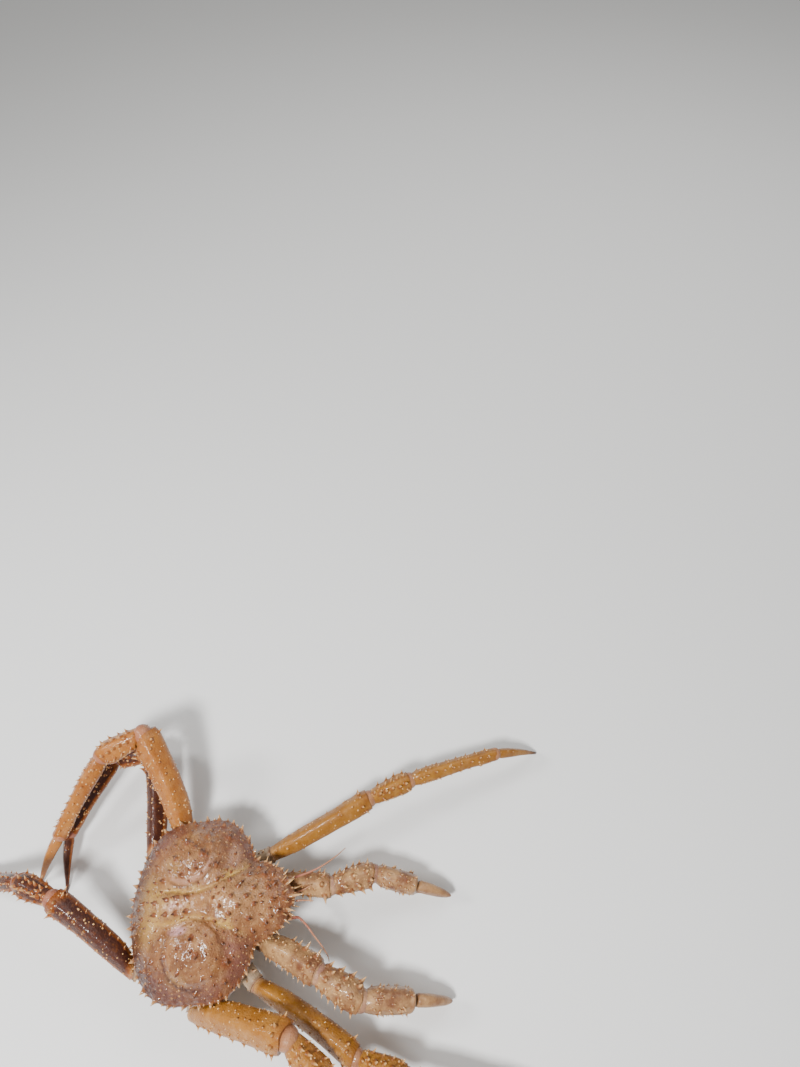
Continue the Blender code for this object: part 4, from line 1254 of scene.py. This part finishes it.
def palm_spines(draw, start, direction, across, up, length, girth):
    """Spines and warts over the palm: set on its oval section at loose places along and round it."""
    count = PALM_SPINE_COUNT
    along = draw.uniform(0.06, 0.5, count)
    angle = draw.uniform(-0.5, math.pi + 0.5, count)
    high, low, wide = flowing(along, HAND_TOP), flowing(along, HAND_BOTTOM), flowing(along, HAND_WIDTH)
    rise = ((high + low) / 2 + np.sin(angle) * (high - low) / 2) * girth[1] * MM
    spread = np.cos(angle) * wide * girth[0] * MM
    bases = start + direction * (length * along)[:, None] + across * spread[:, None] + up * rise[:, None]
    outs = unit(across * np.cos(angle)[:, None] + up * np.sin(angle)[:, None] + 0.3 * direction)
    size = draw.uniform(0.4, 1.0, count)
    return spikes(bases - outs * 0.3 * MM, outs, 4.6 * MM * size, 1.9 * MM * size ** 0.6)


def teeth(start, direction, up, length, girth, span, level, way, count):
    """A row of blunt teeth along a finger's inner edge, larger near its root."""
    along = np.linspace(*span, count)
    size = np.linspace(1.0, 0.55, count)
    bases = start + direction * (length * along)[:, None] + up * (level * girth[1] * MM)
    return spikes(bases, np.tile(up * way, (count, 1)), 2.4 * MM * size, 2.2 * MM * size, WART, sides=10)


def smooth_route(route, side, count):
    """Places evenly through a route of (across, forward, height) points, on one smooth curve."""
    points = np.array([place(forward, side * across, height) for across, forward, height in route])
    steps = np.linspace(0, len(points) - 1, count)
    return np.stack([flowing(steps, list(enumerate(points[:, k]))) for k in range(3)], axis=-1)


def hose(route, radii, sides, rings=0, flat=1.0):
    """A round tube along a route, its radius rippled by rings, flattened upright by a factor."""
    run = unit(np.gradient(route, axis=0))
    level = unit(np.cross(run, (0.02, 0.01, 1.0)))
    upright = np.cross(level, run)
    angle = np.arange(sides) * 2 * math.pi / sides
    along = np.linspace(0, 1, len(route))
    size = np.asarray(radii) * MM
    if rings:
        size = size * (1 + RING_DEPTH * np.cos(along * rings * 2 * math.pi))
    out = level[:, None] * np.cos(angle)[None, :, None]
    out = out + upright[:, None] * (flat * np.sin(angle))[None, :, None]
    points = route[:, None] + out * size[:, None, None]
    return shell_of(points, {"mauve": np.full((len(route), sides), 0.3), "tip": along[:, None] * 0.5})


class CRAB_OT_face(bpy.types.Operator):
    """Build the eyes on their stalks, the feelers with their bases, and the mouth covers."""
    bl_idname = "crab.face"
    bl_label = "Face"

    def execute(self, context):
        eye = eye_finish()
        for side_name, side in SIDES:
            add_eye(side_name, side, eye)
            add_feelers(side_name, side)
            add_mouth(side_name, side)
        return {"FINISHED"}


def side_place(spot, side):
    """A place given as (forward, across, height) on one side."""
    return place(spot[0], side * spot[1], spot[2])


def add_eye(side_name, side, finish):
    """An eye: a ball a little longer than wide, on a stalk that widens to a collar round it."""
    start, end = side_place(EYE_STALK[0], side), side_place(EYE_STALK[1], side)
    run = unit(end - start)
    across, up = section_axes(run)
    turn = np.arange(32) * 2 * math.pi / 32
    along = np.linspace(0, 1, 24)
    size = EYE_STALK[2] * MM * (0.8 + 0.1 * along + 0.22 * smooth_steps(along, 0.8, 1.0))
    ring = across * np.cos(turn)[:, None] + up * np.sin(turn)[:, None]
    stalk = shell_of(start + (end - start) * along[:, None, None] + ring[None] * size[:, None, None], {})
    draw = np.random.default_rng(60 + side)
    places = start + (end - start) * draw.uniform(.2, .9, 9)[:, None]
    outs = ring[draw.integers(0, 32, 9)]
    bristles = spikes(places + outs * 2.1 * MM, outs + run * 0.5, 1.8 * MM, 0.6 * MM, sides=6)
    add_piece("eye_stalk_" + side_name + "_plate", [stalk, bristles], finish_named("feeler_finish"),
              ("eye_stalk_" + side_name,))
    rise = np.linspace(0, math.pi, 20)[1:-1]
    middle = end + run * 2.0 * MM
    points = middle + run * (np.cos(rise) * 4.0 * MM)[:, None, None]
    points = points + ring[None] * (np.sin(rise) * EYE_RADIUS * MM)[:, None, None]
    add_piece("eye_" + side_name + "_ball", [shell_of(points, {})], finish, ("eye_" + side_name,))


def add_feelers(side_name, side):
    """The long feeler with its base and the small feeler: ringed whips that narrow to their tips."""
    base_route = smooth_route([(spot[1], spot[0], spot[2]) for spot in FEELER_BASE[:2]], side, 30)
    along = np.linspace(0, 1, 30)
    girth = FEELER_BASE[2][0] * (0.95 - 0.4 * along + 0.1 * np.sin(along * 9))
    shells = [hose(base_route, girth, 24, flat=0.85)]
    draw = np.random.default_rng(70 + side)
    at = draw.integers(4, 28, 9)
    outs = heading(draw.uniform(-70, 70, 9), draw.uniform(-20, 60, 9))
    shells.append(spikes(base_route[at] + outs * (girth[at] * 0.8 * MM)[:, None], outs, 4.5 * MM, 1.1 * MM))
    add_piece("feeler_base_" + side_name + "_plate", shells, finish_named("feeler_finish"),
              ("feeler_base_" + side_name,))
    for name, route, radii, rings in (("feeler_", FEELERS, FEELER_RADII, 60),
                                      ("small_feeler_", SMALL_FEELERS, SMALL_FEELER_RADII, 26)):
        path = smooth_route(route[side_name], side, rings * 6)
        size = radii[0] + (radii[1] - radii[0]) * np.linspace(0, 1, rings * 6) ** 0.8
        add_piece(name + side_name + "_whip", [hose(path, size, 14, rings)], finish_named("feeler_finish"),
                  (name + side_name,))


def add_mouth(side_name, side):
    """A mouth cover: a swollen plate that narrows upwards, with bristles along its edge."""
    route = smooth_route([(spot[1], spot[0], spot[2]) for spot in MOUTH[:2]], side, 40)
    along = np.linspace(0, 1, 40)
    size = flowing(along, ((0, .8), (.3, 1), (.7, .88), (1, .4))) * (1 + 0.06 * np.cos(along * 18))
    size = size * MOUTH[2][0]
    shells = [hose(route, size, 28, flat=MOUTH[2][1] / MOUTH[2][0])]
    pick = np.linspace(4, 36, 18).astype(int)
    outs = np.tile(heading(12, -12, side), (18, 1))
    bases = route[pick] + outs * (size[pick] * 0.85 * MM)[:, None]
    shells.append(spikes(bases, outs, 3.2 * MM, 0.5 * MM, sides=6))
    add_piece("mouth_" + side_name + "_plate", shells, finish_named("under_finish"),
              ("mouth_" + side_name,))


class CRAB_OT_underside(bpy.types.Operator):
    """Build the thorax with its leg sockets, and the belly flap."""
    bl_idname = "crab.underside"
    bl_label = "Underside"

    def execute(self, context):
        add_piece("thorax_plate", [thorax_shell()], finish_named("under_finish"), ("thorax",))
        add_piece("belly_flap", [belly_shell()], finish_named("under_finish"), ("abdomen",))
        return {"FINISHED"}


def thorax_shell():
    """The thorax: by angle, as far out as its nearest wall, rounded at top and bottom, with grooves below."""
    turn = np.arange(180) * 2 * math.pi / 180
    reach = np.full(180, 200.0)
    walls = [(np.array(spot) * (side, 1), facing, side)
             for spot, facing in LIMB_ROOTS.values() for side in (1, -1)]
    walls += [(np.array((0.0, -THORAX_WALLS[0][0])), 0, 1), (np.array((0.0, THORAX_WALLS[1][0])), 180, 1)]
    middle = np.array((0.0, 14.0))
    way = np.stack((np.sin(turn), -np.cos(turn)), axis=-1)
    for spot, facing, side in walls:
        normal = heading(facing, 0, side)[:2]
        along = way @ normal
        distance = (spot - middle) @ normal
        reach = np.where(along > 0.05, np.minimum(reach, distance / np.maximum(along, 0.05)), reach)
    rise = np.linspace(0, math.pi, 40)[1:-1, None]
    low, high = THORAX_SPAN
    share = np.sin(rise) ** 0.35
    level = (low + high) / 2 + np.cos(rise) * (high - low) / 2
    dent = 1 - 0.05 * np.abs(np.cos(turn * 5.0)) ** 6 * smooth_steps(rise, 1.6, 2.6)
    out = reach[None] * share * dent * 0.992
    points = place(-(middle[1] + out * way[None, :, 1]), middle[0] + out * way[None, :, 0], level + 0 * out)
    return shell_of(points, {"tip": 0.3 + 0 * out})


def belly_shell():
    """The belly flap: flattened rings along its folded line, with a groove between its plates."""
    rows = np.array(BELLY_STATIONS, float)
    steps = np.linspace(0, len(rows) - 1, 150)
    rearward, height, wide, thick = (flowing(steps, list(enumerate(rows[:, k]))) for k in range(4))
    route = place(-rearward, 0 * rearward, height)
    run = unit(np.gradient(route, axis=0))
    across = np.array((1.0, 0, 0))
    up = np.cross(run, across)
    turn = np.arange(64) * 2 * math.pi / 64
    plate = (steps * 1.25) % 1.0
    groove = 1 - 0.14 * np.exp(-((plate - 0.5) / 0.08) ** 2)
    size_w = (wide * (0.97 + 0.03 * groove))[:, None] * np.cos(turn)[None] * MM
    size_t = (thick * groove)[:, None] * np.sin(turn)[None] * MM
    points = route[:, None] + across * size_w[..., None] + up[:, None] * size_t[..., None]
    return shell_of(points, {"ring": (0.25 * (1 - groove) / 0.14)[:, None] + 0 * turn[None]})


class CRAB_OT_stage(bpy.types.Operator):
    """Add the pale floor, the studio lights and the camera."""
    bl_idname = "crab.stage"
    bl_label = "Stage"

    def execute(self, context):
        add_floor()
        add_lights()
        add_camera()
        return {"FINISHED"}


def add_floor():
    """A wide plain pale floor."""
    mesh = bpy.data.meshes.new("floor")
    corners = [(FLOOR_HALF * x, FLOOR_HALF * y, 0) for x, y in ((-1, -1), (1, -1), (1, 1), (-1, 1))]
    mesh.from_pydata(corners, [], [(0, 1, 2, 3)])
    floor = bpy.data.objects.new("floor", mesh)
    bpy.context.scene.collection.objects.link(floor)
    finish = bpy.data.materials.new("floor_paper")
    finish.use_nodes = True
    shader = finish.node_tree.nodes["Principled BSDF"]
    shader.inputs["Base Color"].default_value = FLOOR_COLOUR
    shader.inputs["Roughness"].default_value = 0.9
    mesh.materials.append(finish)


def add_lights():
    """Three area lights over the crab, aimed at it, and a pale world."""
    for name, spot, size, power in LIGHTS:
        lamp = bpy.data.lights.new(name, "AREA")
        lamp.size = size
        lamp.energy = power
        light = bpy.data.objects.new(name, lamp)
        light.location = spot
        light.rotation_euler = (Vector(LIGHT_AIM) - Vector(spot)).to_track_quat("-Z", "Y").to_euler()
        bpy.context.scene.collection.objects.link(light)
    world = bpy.data.worlds.new("studio")
    world.use_nodes = True
    world.node_tree.nodes["Background"].inputs["Color"].default_value = WORLD_COLOUR
    world.node_tree.nodes["Background"].inputs["Strength"].default_value = WORLD_STRENGTH
    bpy.context.scene.world = world


def add_camera():
    """The camera over the crab's right front, turned so that its head points to the picture's right."""
    lens = bpy.data.cameras.new("camera")
    lens.sensor_fit = "VERTICAL"
    lens.sensor_height = SENSOR
    lens.lens = CAMERA_LENS
    camera = bpy.data.objects.new("camera", lens)
    camera.location = CAMERA_PLACE
    camera.rotation_euler = [math.radians(turn) for turn in CAMERA_TURN]
    bpy.context.scene.collection.objects.link(camera)
    bpy.context.scene.camera = camera


OPERATORS = (CRAB_OT_carapace, CRAB_OT_legs, CRAB_OT_claws, CRAB_OT_face, CRAB_OT_underside, CRAB_OT_stage)


class CRAB_PT_panel(bpy.types.Panel):
    """Lists the crab's sizes, colours and operators."""
    bl_idname = "CRAB_PT_panel"
    bl_label = "Red King Crab"
    bl_space_type = "VIEW_3D"
    bl_region_type = "UI"
    bl_category = "Crab"

    def draw(self, context):
        for group in (context.scene.crab_sizes, context.scene.crab_colours):
            for name in group.__annotations__:
                self.layout.prop(group, name)
        for operator in OPERATORS:
            self.layout.operator(operator.bl_idname)


CLASSES = (CrabColours, CrabSizes, *OPERATORS, CRAB_PT_panel)


def register():
    """Register the classes and hang the settings on the scene."""
    for item in CLASSES:
        bpy.utils.register_class(item)
    bpy.types.Scene.crab_colours = PointerProperty(type=CrabColours)
    bpy.types.Scene.crab_sizes = PointerProperty(type=CrabSizes)


def unregister():
    """Take the settings and the classes away again."""
    del bpy.types.Scene.crab_sizes
    del bpy.types.Scene.crab_colours
    for item in reversed(CLASSES):
        bpy.utils.unregister_class(item)


def main():
    register()
    for operator in OPERATORS:
        group, name = operator.bl_idname.split(".")
        getattr(getattr(bpy.ops, group), name)()


if __name__ == "__main__":
    main()
